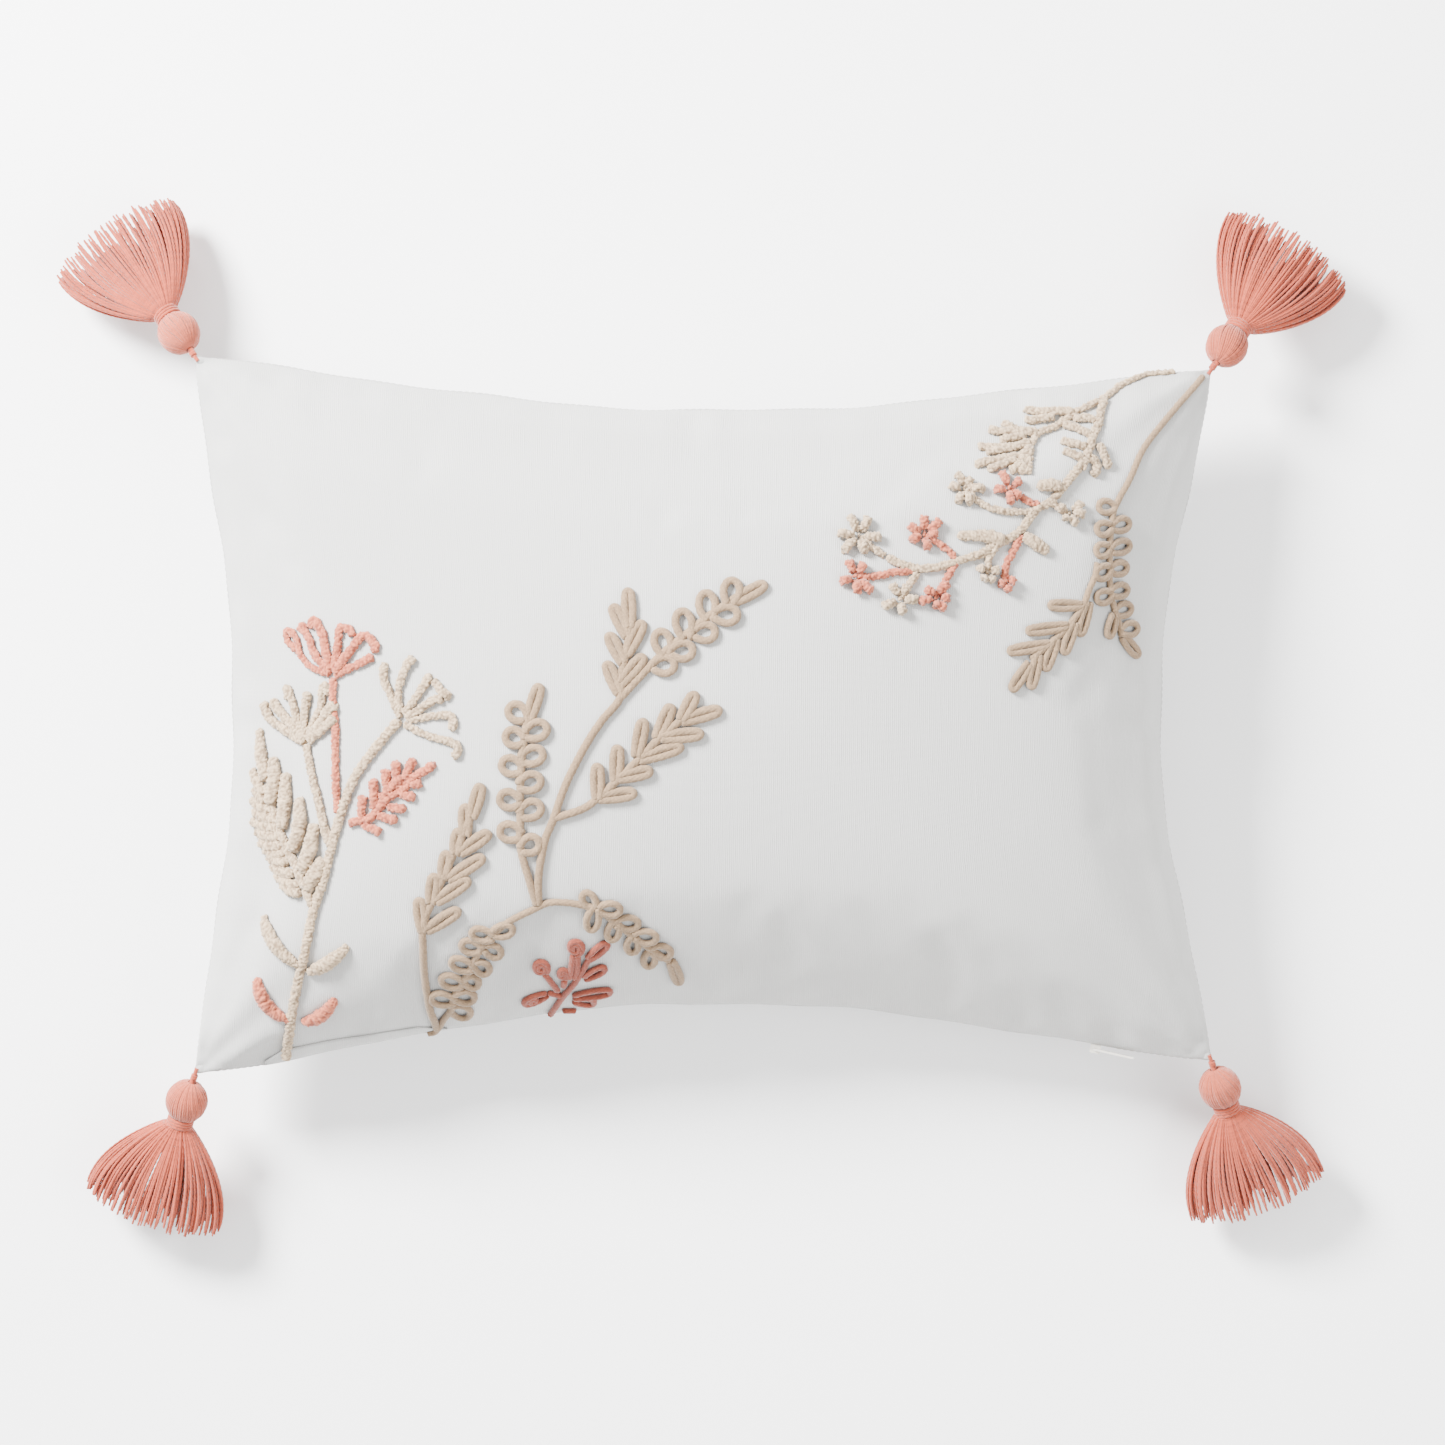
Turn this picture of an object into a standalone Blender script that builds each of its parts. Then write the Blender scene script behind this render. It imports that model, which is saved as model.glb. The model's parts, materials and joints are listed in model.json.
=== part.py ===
"""Oblong throw pillow: sewn cover with a concealed zip, filled insert, raised yarn embroidery, four tassels.

Metres, +Z up. The pillow lies on its back: the origin is the middle of the flat resting area of the
back panel, X runs along the long side, Y towards the top edge and Z out of the embroidered front.
"""

import math

import bmesh
import bpy
from mathutils import Matrix, Vector

MM = 0.001

# Pillow outline and fullness
LENGTH = 501 * MM            # corner to corner along X
LEFT_HEIGHT = 353 * MM       # corner to corner along Y at the left end
RIGHT_HEIGHT = 340 * MM
LEFT_PULL = 19 * MM          # how far the middle of each edge is pulled in
RIGHT_PULL = 25 * MM
TOP_PULL = 23 * MM
BOTTOM_PULL = 31 * MM
PULL_SHAPE = 1.5             # higher keeps the edges straighter near the corners
SEAM_HEIGHT = 44 * MM        # seam plane above the surface that the pillow lies on
FRONT_RISE = 78 * MM         # crown of the front above the seam plane
BACK_DROP = 52 * MM          # unloaded depth of the back, which the surface flattens at z = 0

# Layers
COVER_WALL = 1.0 * MM
INSERT_CLEARANCE = 2.6 * MM  # between cover and insert
INSERT_WALL = 0.6 * MM
FILL_CLEARANCE = 0.5 * MM
SEAM_GAP = 0.3 * MM          # between the front and back halves of a sewn seam
COVER_CELLS = (18, 14)
INSERT_CELLS = (12, 8)

# Zip in the bottom seam, laid on a circular arc
ZIP_LENGTH = 400 * MM
ZIP_MOUTH = 1.8 * MM         # opening between the two seam edges along the zip
ZIP_ROOM = 9 * MM            # how much further the insert stays back from the zip
COIL_DEPTH = 4.4 * MM        # from the seam edge inwards to the coil
COIL_THICKNESS = 1.8 * MM
COIL_WIDTH = 2.0 * MM
COIL_GAP = 1.2 * MM          # between the two coil rows
TAPE_WIDTH = 6 * MM
TAPE_THICKNESS = 0.5 * MM
ZIP_CLEARANCE = 0.3 * MM
SLIDER_LENGTH = 9 * MM
SLIDER_WIDTH = 7 * MM
SLIDER_PLATE = 0.8 * MM
SLIDER_NECK = 5 * MM         # length of the neck that passes out through the mouth
TAB_LENGTH = 20 * MM
TAB_WIDTH = 5 * MM
TAB_THICKNESS = 1.0 * MM
TAB_PIN = 0.6 * MM           # radius
TAB_BORE = 0.9 * MM
PIVOT_OUT = 2.6 * MM         # the tab's pin outside the seam edge
STOP_LENGTH = 3 * MM

# Tassels
CORD_RADIUS = 1.75 * MM
CORD_LENGTH = 5.5 * MM       # from the pillow's corner to the head, knot included
KNOT_RADIUS = 1.3 * MM       # knot at the corner, which the tassel turns about
HEAD_RADIUS = 10.7 * MM
HEAD_YARN = 1.5 * MM         # thickness of yarn over the bead
BEAD_BORE = 2.4 * MM
BEAD_CLEARANCE = 0.8 * MM
NECK_RADIUS = 5.0 * MM
WRAP_THICKNESS = 1.7 * MM
WRAP_LENGTH = 4.0 * MM
SKIRT_LENGTH = 53 * MM
SKIRT_WIDTH = 74 * MM        # across the cut ends
SKIRT_THICKNESS = 30 * MM
SKIRT_BELL = 0.8             # lower makes fuller shoulders
FLOOR_CLEARANCE = 0.5 * MM
CORNER_CLEARANCE = 0.8 * MM
TOUCH = 0.3 * MM             # left between neighbouring solids
TASSELS = {                  # corner signs in X and Y, and the tassel's heading in degrees from +X
    "top_left": (-1, 1, 125),
    "top_right": (1, 1, 56),
    "bottom_left": (-1, -1, 251),
    "bottom_right": (1, -1, 290),
}

# Embroidery, in millimetres from the middle of the front, and the pillow that it is drawn for
DRAWN_LENGTH = 501 * MM
DRAWN_LEFT_HEIGHT = 353 * MM
DRAWN_RIGHT_HEIGHT = 340 * MM
LAY_GAP = 0.6 * MM
PILE_WIDTH = 4.6
CORD_WIDTH = 3.6
RELIEF = 2.6 * MM
ROUTE_STEP = 16.0
EDGE_MARGIN = 3.0 * MM       # yarn stops this far inside the seam

COLOURS = {
    "cotton": (230, 229, 226),
    "casing": (236, 236, 238),
    "fibre": (245, 245, 245),
    "nylon": (226, 222, 214),
    "enamel": (214, 208, 198),
    "coral": (222, 143, 121),
    "coral_head": (223, 158, 139),
    "wood": (196, 160, 120),
    "natural_pile": (224, 215, 207),
    "natural_cord": (199, 182, 163),
    "coral_pile": (225, 178, 162),
    "terracotta": (205, 120, 98),
}


def material(name, rgb, roughness):
    made = bpy.data.materials.new(name)
    made.use_nodes = True
    shader = made.node_tree.nodes["Principled BSDF"]
    linear = [(c / 255 / 12.92) if c <= 10 else ((c / 255 + 0.055) / 1.055) ** 2.4 for c in rgb]
    shader.inputs["Base Color"].default_value = (*linear, 1)
    shader.inputs["Roughness"].default_value = roughness
    shader.inputs["Metallic"].default_value = 0.0
    return made


def add_object(name, mesh, colour, roughness=0.9, parent=None):
    made = bpy.data.objects.new(name, mesh)
    bpy.context.scene.collection.objects.link(made)
    mesh.materials.append(material(name, COLOURS[colour], roughness))
    made.parent = parent
    return made


def add_empty(name, location=(0, 0, 0), rotation=(0, 0, 0), parent=None):
    made = bpy.data.objects.new(name, None)
    bpy.context.scene.collection.objects.link(made)
    made.location = location
    made.rotation_euler = rotation
    made.parent = parent
    return made


def mesh_of(name, points, faces, smooth=True):
    mesh = bpy.data.meshes.new(name)
    mesh.from_pydata([tuple(p) for p in points], [], faces)
    form = bmesh.new()
    form.from_mesh(mesh)
    bmesh.ops.recalc_face_normals(form, faces=form.faces)
    if form.calc_volume(signed=True) < 0:
        bmesh.ops.reverse_faces(form, faces=form.faces)
    form.to_mesh(mesh)
    form.free()
    if smooth:
        mesh.shade_smooth()
        mesh.set_sharp_from_angle(angle=math.radians(40))
    return mesh


# ---- the pillow's surface ------------------------------------------------------------------

def half_height(u):
    return (LEFT_HEIGHT * (1 - u) + RIGHT_HEIGHT * (1 + u)) / 4


def pull(low, high, t):
    """How far a point is drawn in at t, from -low at t = -1 to high at t = 1."""
    return ((high + low) / 2 + (high - low) / 2 * t) * t


def outline_point(u, v, inset=0.0, bottom_tuck=0.0):
    """A point of the plan for u, v from -1 to 1."""
    across = max(0.0, 1 - v * v) ** PULL_SHAPE
    along = max(0.0, 1 - u * u) ** PULL_SHAPE
    x = (LENGTH / 2 - inset) * u - pull(LEFT_PULL, RIGHT_PULL, u) * across
    y = (half_height(u) - inset) * v - pull(BOTTOM_PULL, TOP_PULL, v) * along
    return x, y + bottom_tuck * ((1 - v) / 2) ** 2


def crown(u, v):
    return math.sqrt(max(0.0, 1 - u * u)) * math.sqrt(max(0.0, 1 - v * v))


def front_point(u, v, inset=0.0):
    x, y = outline_point(u, v, inset)
    return Vector((x, y, SEAM_HEIGHT + (FRONT_RISE - inset) * crown(u, v)))


def parameters_at(x, y):
    """The u, v whose outline point is (x, y)."""
    u, v = x / (LENGTH / 2), y / half_height(0)
    for _ in range(40):
        u = max(-1, min(1, u))
        v = max(-1, min(1, v))
        px, py = outline_point(u, v)
        u += (x - px) / (LENGTH / 2)
        v += (y - py) / half_height(u)
    return max(-1, min(1, u)), max(-1, min(1, v))


def on_front(x, y, lift):
    """A drawn point lifted off the front along its normal, kept inside the seam."""
    share = x / (DRAWN_LENGTH / 2)
    x = share * LENGTH / 2
    y *= half_height(share) / ((DRAWN_LEFT_HEIGHT * (1 - share) + DRAWN_RIGHT_HEIGHT * (1 + share)) / 4)
    limit_u = 1 - EDGE_MARGIN / (LENGTH / 2)
    limit_v = 1 - EDGE_MARGIN / half_height(0)
    u, v = parameters_at(x, y)
    u = max(-limit_u, min(limit_u, u))
    v = max(-limit_v, min(limit_v, v))
    step = 1e-4
    across = front_point(u + step, v) - front_point(u - step, v)
    along = front_point(u, v + step) - front_point(u, v - step)
    return front_point(u, v) + across.cross(along).normalized() * lift


# ---- cover, insert and fill ----------------------------------------------------------------

def grid(cells, point):
    """Points on a grid whose lines crowd towards the seam, where the surface is steepest."""
    columns, rows = cells
    return [
        point(math.sin(math.pi * (i / columns - 0.5)), math.sin(math.pi * (j / rows - 0.5)), i, j)
        for j in range(rows + 1)
        for i in range(columns + 1)
    ]


def cell_faces(cells, start=0):
    columns, rows = cells
    faces = []
    for j in range(rows):
        for i in range(columns):
            a = start + j * (columns + 1) + i
            faces.append((a, a + 1, a + columns + 2, a + columns + 1))
    return faces


def rim_indices(cells):
    columns, rows = cells
    wide = columns + 1
    rim = [i for i in range(wide)]
    rim += [j * wide + columns for j in range(1, rows + 1)]
    rim += [rows * wide + i for i in range(columns - 1, -1, -1)]
    rim += [j * wide for j in range(rows - 1, 0, -1)]
    return rim


def half_layer(cells, side, inset, floor, tuck, mouth):
    """Points of one face of a half: side is 1 for the front and -1 for the back."""
    columns, rows = cells

    def point(u, v, i, j):
        x, y = outline_point(u, v, inset, tuck)
        lift = 0 if i in (0, columns) or j in (0, rows) else crown(u, v)
        half_gap = SEAM_GAP / 2
        if mouth and j == 0 and abs(x) < ZIP_LENGTH / 2 + SLIDER_LENGTH:
            half_gap = ZIP_MOUTH / 2
        seam = SEAM_HEIGHT + side * half_gap
        if side > 0:
            return x, y, seam + (FRONT_RISE - inset) * lift
        return x, y, max(floor, seam - (BACK_DROP - inset) * lift)

    return grid(cells, point)


def half_shell(name, cells, side, inset, wall, floor, tuck, mouth, colour):
    outer = half_layer(cells, side, inset, floor, tuck, mouth)
    inner = half_layer(cells, side, inset + wall, floor + wall, tuck, mouth)
    faces = cell_faces(cells) + cell_faces(cells, len(outer))
    rim = rim_indices(cells)
    for a, b in zip(rim, rim[1:] + rim[:1]):
        faces.append((a, b, b + len(outer), a + len(outer)))
    return add_object(name, mesh_of(name, outer + inner, faces), colour)


def build_cover():
    half_shell("cover_front_panel", COVER_CELLS, 1, 0, COVER_WALL, 0, 0, True, "cotton")
    half_shell("cover_back_panel", COVER_CELLS, -1, 0, COVER_WALL, 0, 0, True, "cotton")


def build_insert():
    inset = COVER_WALL + INSERT_CLEARANCE
    half_shell("insert_front_panel", INSERT_CELLS, 1, inset, INSERT_WALL, inset, ZIP_ROOM, False, "casing")
    half_shell("insert_back_panel", INSERT_CELLS, -1, inset, INSERT_WALL, inset, ZIP_ROOM, False, "casing")
    inset += INSERT_WALL + FILL_CLEARANCE
    upper = half_layer(INSERT_CELLS, 1, inset, inset, ZIP_ROOM, False)
    lower = half_layer(INSERT_CELLS, -1, inset, inset, ZIP_ROOM, False)
    faces = cell_faces(INSERT_CELLS) + cell_faces(INSERT_CELLS, len(upper))
    rim = rim_indices(INSERT_CELLS)
    for a, b in zip(rim, rim[1:] + rim[:1]):
        faces.append((a, b, b + len(upper), a + len(upper)))
    add_object("fibre_fill", mesh_of("fibre_fill", upper + lower, faces), "fibre")


# ---- zip -----------------------------------------------------------------------------------

def zip_arc():
    """Centre and radius of the circle through the seam edge at the zip's middle and two ends."""
    reach = ZIP_LENGTH / LENGTH
    (ax, ay), (bx, by), (cx, cy) = (outline_point(u, -1) for u in (-reach, 0, reach))
    d = 2 * (ax * (by - cy) + bx * (cy - ay) + cx * (ay - by))
    a, b, c = ax * ax + ay * ay, bx * bx + by * by, cx * cx + cy * cy
    centre = Vector(((a * (by - cy) + b * (cy - ay) + c * (ay - by)) / d,
                     (a * (cx - bx) + b * (ax - cx) + c * (bx - ax)) / d, SEAM_HEIGHT))
    return centre, math.hypot(bx - centre.x, by - centre.y)


def zip_frame(along):
    """Matrix at a distance along the zip, leftwards from its middle: X along it, Y outwards, Z up."""
    centre, radius = zip_arc()
    middle = outline_point(0, -1)
    angle = along / radius + math.atan2(centre.x - middle[0], middle[1] - centre.y)
    outward = Vector((math.sin(angle), -math.cos(angle), 0))
    direction = Vector((-math.cos(angle), -math.sin(angle), 0))
    upward = direction.cross(outward)
    place = centre - outward * radius
    return Matrix((
        (direction.x, outward.x, upward.x, place.x),
        (direction.y, outward.y, upward.y, place.y),
        (direction.z, outward.z, upward.z, place.z),
        (0, 0, 0, 1),
    ))


def zip_strip(name, depth, thickness, low, high, start, end, colour, steps=14):
    """A bar of rectangular section that follows the zip, from depth inwards from the seam edge."""
    points, faces = [], []
    for k in range(steps + 1):
        frame = zip_frame(start + (end - start) * k / steps)
        for out, up in ((-depth, low), (-depth - thickness, low), (-depth - thickness, high), (-depth, high)):
            points.append(frame @ Vector((0, out, up)))
    for k in range(steps):
        for n in range(4):
            a, b = 4 * k + n, 4 * k + (n + 1) % 4
            faces.append((a, b, b + 4, a + 4))
    faces += [(0, 1, 2, 3), tuple(4 * steps + n for n in (3, 2, 1, 0))]
    return add_object(name, mesh_of(name, points, faces, smooth=False), colour, 0.6)


def box_mesh(name, size, centre=(0, 0, 0)):
    mesh = bpy.data.meshes.new(name)
    form = bmesh.new()
    bmesh.ops.create_cube(form, size=1)
    bmesh.ops.scale(form, vec=size, verts=form.verts)
    bmesh.ops.translate(form, vec=centre, verts=form.verts)
    form.to_mesh(mesh)
    form.free()
    return mesh


def rod_mesh(name, radius, length, centre, sides=16):
    """A rod along Z."""
    mesh = bpy.data.meshes.new(name)
    form = bmesh.new()
    bmesh.ops.create_cone(form, cap_ends=True, segments=sides, radius1=radius, radius2=radius, depth=length)
    bmesh.ops.translate(form, vec=centre, verts=form.verts)
    form.to_mesh(mesh)
    form.free()
    return mesh


def helper(mesh, parent=None):
    """A hidden shape that a Boolean uses."""
    made = bpy.data.objects.new(mesh.name, mesh)
    bpy.context.scene.collection.objects.link(made)
    made.hide_render = True
    made.display_type = "WIRE"
    made.parent = parent
    return made


def combine(target, other, operation):
    modifier = target.modifiers.new(operation.title(), "BOOLEAN")
    modifier.operation = operation
    modifier.object = other


def build_zip():
    inner = COIL_GAP / 2
    tape_depth = COIL_DEPTH + COIL_THICKNESS + ZIP_CLEARANCE
    half = ZIP_LENGTH / 2
    for side, sign in (("front", 1), ("back", -1)):
        low, high = sorted((sign * inner, sign * (inner + COIL_WIDTH)))
        zip_strip(f"zipper_coil_{side}", COIL_DEPTH, COIL_THICKNESS, low, high, -half, half, "nylon")
        low, high = sorted((sign * inner, sign * (inner + TAPE_WIDTH)))
        reach = half + STOP_LENGTH
        zip_strip(f"zipper_tape_{side}", tape_depth, TAPE_THICKNESS, low, high, -reach, reach, "nylon")
    for side, sign in (("left", 1), ("right", -1)):
        ends = sorted((sign * (half + ZIP_CLEARANCE), sign * (half + ZIP_CLEARANCE + STOP_LENGTH)))
        bar = inner + COIL_WIDTH
        zip_strip(f"zipper_stop_{side}", COIL_DEPTH, COIL_THICKNESS, -bar, bar, *ends, "enamel", steps=1)

    centre, _ = zip_arc()
    track = add_empty("zipper_track", centre)
    slider_place = add_empty("zipper_slider_place", parent=track)
    slider_place.matrix_local = Matrix.Translation(-centre) @ zip_frame(SLIDER_LENGTH / 2 - half)
    front = COIL_DEPTH - ZIP_CLEARANCE - SLIDER_PLATE
    behind = tape_depth + TAPE_THICKNESS + ZIP_CLEARANCE
    slider = add_object(
        "zipper_slider",
        box_mesh("zipper_slider", (SLIDER_LENGTH, SLIDER_PLATE, SLIDER_WIDTH), (0, -front - SLIDER_PLATE / 2, 0)),
        "enamel", 0.45, slider_place)
    post = inner - ZIP_CLEARANCE
    plate = box_mesh("slider_inner_plate", (SLIDER_LENGTH, SLIDER_PLATE, SLIDER_WIDTH),
                     (0, -behind - SLIDER_PLATE / 2, 0))
    core = box_mesh("slider_post", (SLIDER_LENGTH / 2, behind - front + SLIDER_PLATE, 2 * post),
                    (0, -(behind + front + SLIDER_PLATE) / 2, 0))
    neck_reach = PIVOT_OUT + 2 * TAB_BORE
    neck = box_mesh("slider_neck", (SLIDER_NECK, neck_reach + front + SLIDER_PLATE / 2, 2 * post),
                    (0, (neck_reach - front - SLIDER_PLATE / 2) / 2, 0))
    for mesh in (plate, core, neck):
        combine(slider, helper(mesh, slider_place), "UNION")
    bore = rod_mesh("slider_eye", TAB_BORE, SLIDER_WIDTH, (0, PIVOT_OUT, 0))
    combine(slider, helper(bore, slider_place), "DIFFERENCE")

    hinge = add_empty("zipper_tab_hinge", (0, PIVOT_OUT, 0), parent=slider_place)
    tab = add_object(
        "zipper_pull_tab",
        box_mesh("zipper_pull_tab", (TAB_LENGTH, TAB_THICKNESS, TAB_WIDTH), (TAB_BORE - TAB_LENGTH / 2, 0, 0)),
        "enamel", 0.45, hinge)
    slot = box_mesh("tab_slot", (2 * SLIDER_NECK, 4 * TAB_THICKNESS, 2 * (post + ZIP_CLEARANCE)), (0, 0, 0))
    combine(tab, helper(slot, hinge), "DIFFERENCE")
    pin = rod_mesh("tab_pin", TAB_PIN, TAB_WIDTH - 2 * ZIP_CLEARANCE, (0, 0, 0))
    combine(tab, helper(pin, hinge), "UNION")


# ---- tassels -------------------------------------------------------------------------------

def turned(name, rings, sides, closed=False):
    """A form around +X. A ring is (place, half width in Y, half thickness in Z); closed rings make a hollow."""
    points, faces = [], []
    for place, wide, thick in rings:
        for k in range(sides):
            angle = 2 * math.pi * k / sides
            points.append((place, wide * math.cos(angle), thick * math.sin(angle)))
    count = len(rings)
    for r in range(count if closed else count - 1):
        for k in range(sides):
            a, b = r * sides + k, r * sides + (k + 1) % sides
            c, d = (b + sides) % (count * sides), (a + sides) % (count * sides)
            faces.append((a, b, c, d))
    if not closed:
        faces += [tuple(range(sides)), tuple(range((count - 1) * sides, count * sides))]
    return mesh_of(name, points, faces)


def ball_rings(middle, radius, first_hole, last_hole, steps):
    """Rings of a ball from the edge of one hole to the edge of the other."""
    start = math.pi - math.asin(first_hole / radius)
    end = math.asin(last_hole / radius)
    angles = [start + (end - start) * k / steps for k in range(steps + 1)]
    return [(middle + radius * math.cos(a), radius * math.sin(a), radius * math.sin(a)) for a in angles]


def build_tassel(corner, sign_x, sign_y, heading):
    x, y = outline_point(sign_x, sign_y)
    turn = math.radians(heading)
    tassel_length = CORD_LENGTH + 2 * HEAD_RADIUS + WRAP_LENGTH + SKIRT_LENGTH
    droop = math.asin((SEAM_HEIGHT - SKIRT_THICKNESS / 2 - FLOOR_CLEARANCE) / tassel_length)
    swing = add_empty(f"tassel_swing_{corner}", (x, y, SEAM_HEIGHT), (0, 0, turn))
    slope = add_empty(f"tassel_slope_{corner}", rotation=(0, droop, 0), parent=swing)
    knot_place = CORNER_CLEARANCE + KNOT_RADIUS
    lift = add_empty(f"tassel_lift_{corner}", (knot_place, 0, 0), parent=slope)
    knot = ball_rings(knot_place, KNOT_RADIUS, KNOT_RADIUS / 3, KNOT_RADIUS / 3, 6)
    add_object(f"tassel_knot_{corner}", turned("knot", knot, 10), "coral", parent=slope)

    head = add_empty(f"tassel_head_place_{corner}", (CORD_LENGTH - knot_place, 0, 0), parent=lift)
    cord_start = KNOT_RADIUS + TOUCH - (CORD_LENGTH - knot_place)
    top = 2 * HEAD_RADIUS - HEAD_YARN / 2
    cord_end = top - 2 * TOUCH
    cord = [(place, CORD_RADIUS, CORD_RADIUS) for place in (cord_start, 0, cord_end)]
    add_object(f"tassel_cord_{corner}", turned("cord", cord, 10), "coral", parent=head)

    bead_radius = HEAD_RADIUS - HEAD_YARN - BEAD_CLEARANCE
    bore = [(2 * HEAD_RADIUS * s, BEAD_BORE, BEAD_BORE) for s in (0.8, 0.5, 0.2)]
    bead = ball_rings(HEAD_RADIUS, bead_radius, BEAD_BORE, BEAD_BORE, 7)
    bead += [r for r in bore if bead[0][0] < r[0] < bead[-1][0]]
    add_object(f"tassel_bead_{corner}", turned("bead", bead, 12, closed=True), "wood", 0.6, head)

    yarn_inner = HEAD_RADIUS - HEAD_YARN
    yarn = ball_rings(HEAD_RADIUS, HEAD_RADIUS, BEAD_BORE, NECK_RADIUS + TOUCH, 7)
    yarn += ball_rings(HEAD_RADIUS, yarn_inner, BEAD_BORE, NECK_RADIUS + TOUCH, 5)[::-1]
    add_object(f"tassel_head_{corner}", turned("head", yarn, 14, closed=True), "coral_head", parent=head)

    neck_end = 2 * HEAD_RADIUS + WRAP_LENGTH
    inner = NECK_RADIUS + TOUCH
    wrap_middle, wrap_thick = inner + WRAP_THICKNESS / 2, WRAP_THICKNESS / 2
    wrap = []
    for k in range(6):
        angle = 2 * math.pi * k / 6
        radius = wrap_middle + wrap_thick * math.cos(angle)
        wrap.append((neck_end - WRAP_LENGTH / 2 + WRAP_LENGTH / 2 * math.sin(angle), radius, radius))
    add_object(f"tassel_wrap_{corner}", turned("wrap", wrap, 14, closed=True), "coral", parent=head)

    skirt = [(top, NECK_RADIUS, NECK_RADIUS), (neck_end, NECK_RADIUS, NECK_RADIUS)]
    for share in (0.06, 0.2, 0.38, 0.57, 0.78, 1.0):
        spread = math.sin(math.pi / 2 * share) ** SKIRT_BELL
        wide = NECK_RADIUS + (SKIRT_WIDTH / 2 - NECK_RADIUS) * spread
        thick = NECK_RADIUS + (SKIRT_THICKNESS / 2 - NECK_RADIUS) * spread
        skirt.append((neck_end + TOUCH + SKIRT_LENGTH * share, max(wide, NECK_RADIUS), max(thick, NECK_RADIUS)))
    add_object(f"tassel_skirt_{corner}", turned("skirt", skirt, 20), "coral", parent=head)


# ---- embroidery ----------------------------------------------------------------------------

def smooth_route(points):
    """Points every ROUTE_STEP or less along a smooth curve through the route's own points."""
    ends = [points[0]] + list(points) + [points[-1]]
    path = []
    for n in range(1, len(ends) - 2):
        before, a, b, after = (Vector(p) for p in ends[n - 1:n + 3])
        steps = max(1, math.ceil((b - a).length / ROUTE_STEP))
        for k in range(steps):
            t = k / steps
            path.append(0.5 * (2 * a + (b - before) * t + (2 * before - 5 * a + 4 * b - after) * t * t
                               + (3 * a - before - 3 * b + after) * t ** 3))
    return path + [Vector(points[-1])]


def strip_form(route, width):
    """A flat bar of this width along a route, as quads."""
    path = smooth_route(route)
    left, right = [], []
    for n, point in enumerate(path):
        ahead = path[min(n + 1, len(path) - 1)] - path[max(n - 1, 0)]
        side = Vector((-ahead.y, ahead.x)).normalized() * width / 2
        left.append(point + side)
        right.append(point - side)
    count = len(path)
    plan = left + right
    faces = [(n, count + n, count + n + 1, n + 1) for n in range(count - 1)]
    edge = list(range(count, 2 * count)) + list(range(count - 1, -1, -1))
    return plan, faces, edge


def loop_form(base, tip, width):
    """The flat outline of a leaf or berry, narrow where it leaves the stem."""
    start, end = Vector(base), Vector(tip)
    ahead = end - start
    side = Vector((-ahead.y, ahead.x)).normalized() * width
    start -= ahead.normalized() * 1.0
    places = ((0.0, -0.22), (0.66, -0.5), (1.0, 0.0), (0.66, 0.5), (0.0, 0.22))
    plan = [start + (end - start) * share + side * wide for share, wide in places]
    return plan, [tuple(range(5))], list(range(5))


def rosette_form(centre, radius):
    """A five-petalled flat flower."""
    plan = []
    for k in range(10):
        angle = 2 * math.pi * k / 10 + 0.3
        reach = radius * (1.0 if k % 2 else 0.72)
        plan.append(Vector(centre) + Vector((math.cos(angle), math.sin(angle))) * reach)
    return plan, [tuple(range(10))], list(range(10))


def prism_mesh(name, form):
    plan, faces, edge = form
    count = len(plan)
    points = [(p.x * MM, p.y * MM, 0) for p in plan] + [(p.x * MM, p.y * MM, RELIEF) for p in plan]
    sides = [(a, b, b + count, a + count) for a, b in zip(edge, edge[1:] + edge[:1])]
    return mesh_of(name, points, faces + [tuple(i + count for i in f) for f in faces] + sides, smooth=False)


def build_motif(name, colour, width, routes=(), loops=(), flowers=()):
    """One connected piece of yarn work, joined flat and then laid on the crown of the front."""
    forms = [strip_form(route, width) for route in routes]
    forms += [loop_form(*loop) for loop in loops]
    forms += [rosette_form(*flower) for flower in flowers]
    flat = helper(prism_mesh(name, forms[0]))
    others = bpy.data.collections.new(name + "_strokes")
    bpy.context.scene.collection.children.link(others)
    for form in forms[1:]:
        stroke = helper(prism_mesh(name + "_stroke", form))
        bpy.context.scene.collection.objects.unlink(stroke)
        others.objects.link(stroke)
    if len(forms) > 1:
        modifier = flat.modifiers.new("Union", "BOOLEAN")
        modifier.operation = "UNION"
        modifier.operand_type = "COLLECTION"
        modifier.collection = others
    graph = bpy.context.evaluated_depsgraph_get()
    graph.update()
    mesh = bpy.data.meshes.new_from_object(flat.evaluated_get(graph))
    form = bmesh.new()
    form.from_mesh(mesh)
    bmesh.ops.triangulate(form, faces=form.faces)
    for vertex in form.verts:
        vertex.co = on_front(vertex.co.x, vertex.co.y, LAY_GAP + vertex.co.z)
    form.to_mesh(mesh)
    form.free()
    for stroke in [*others.objects, flat]:
        bpy.data.objects.remove(stroke)
    bpy.data.collections.remove(others)
    mesh.materials.clear()
    add_object(name, mesh, colour)


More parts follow.
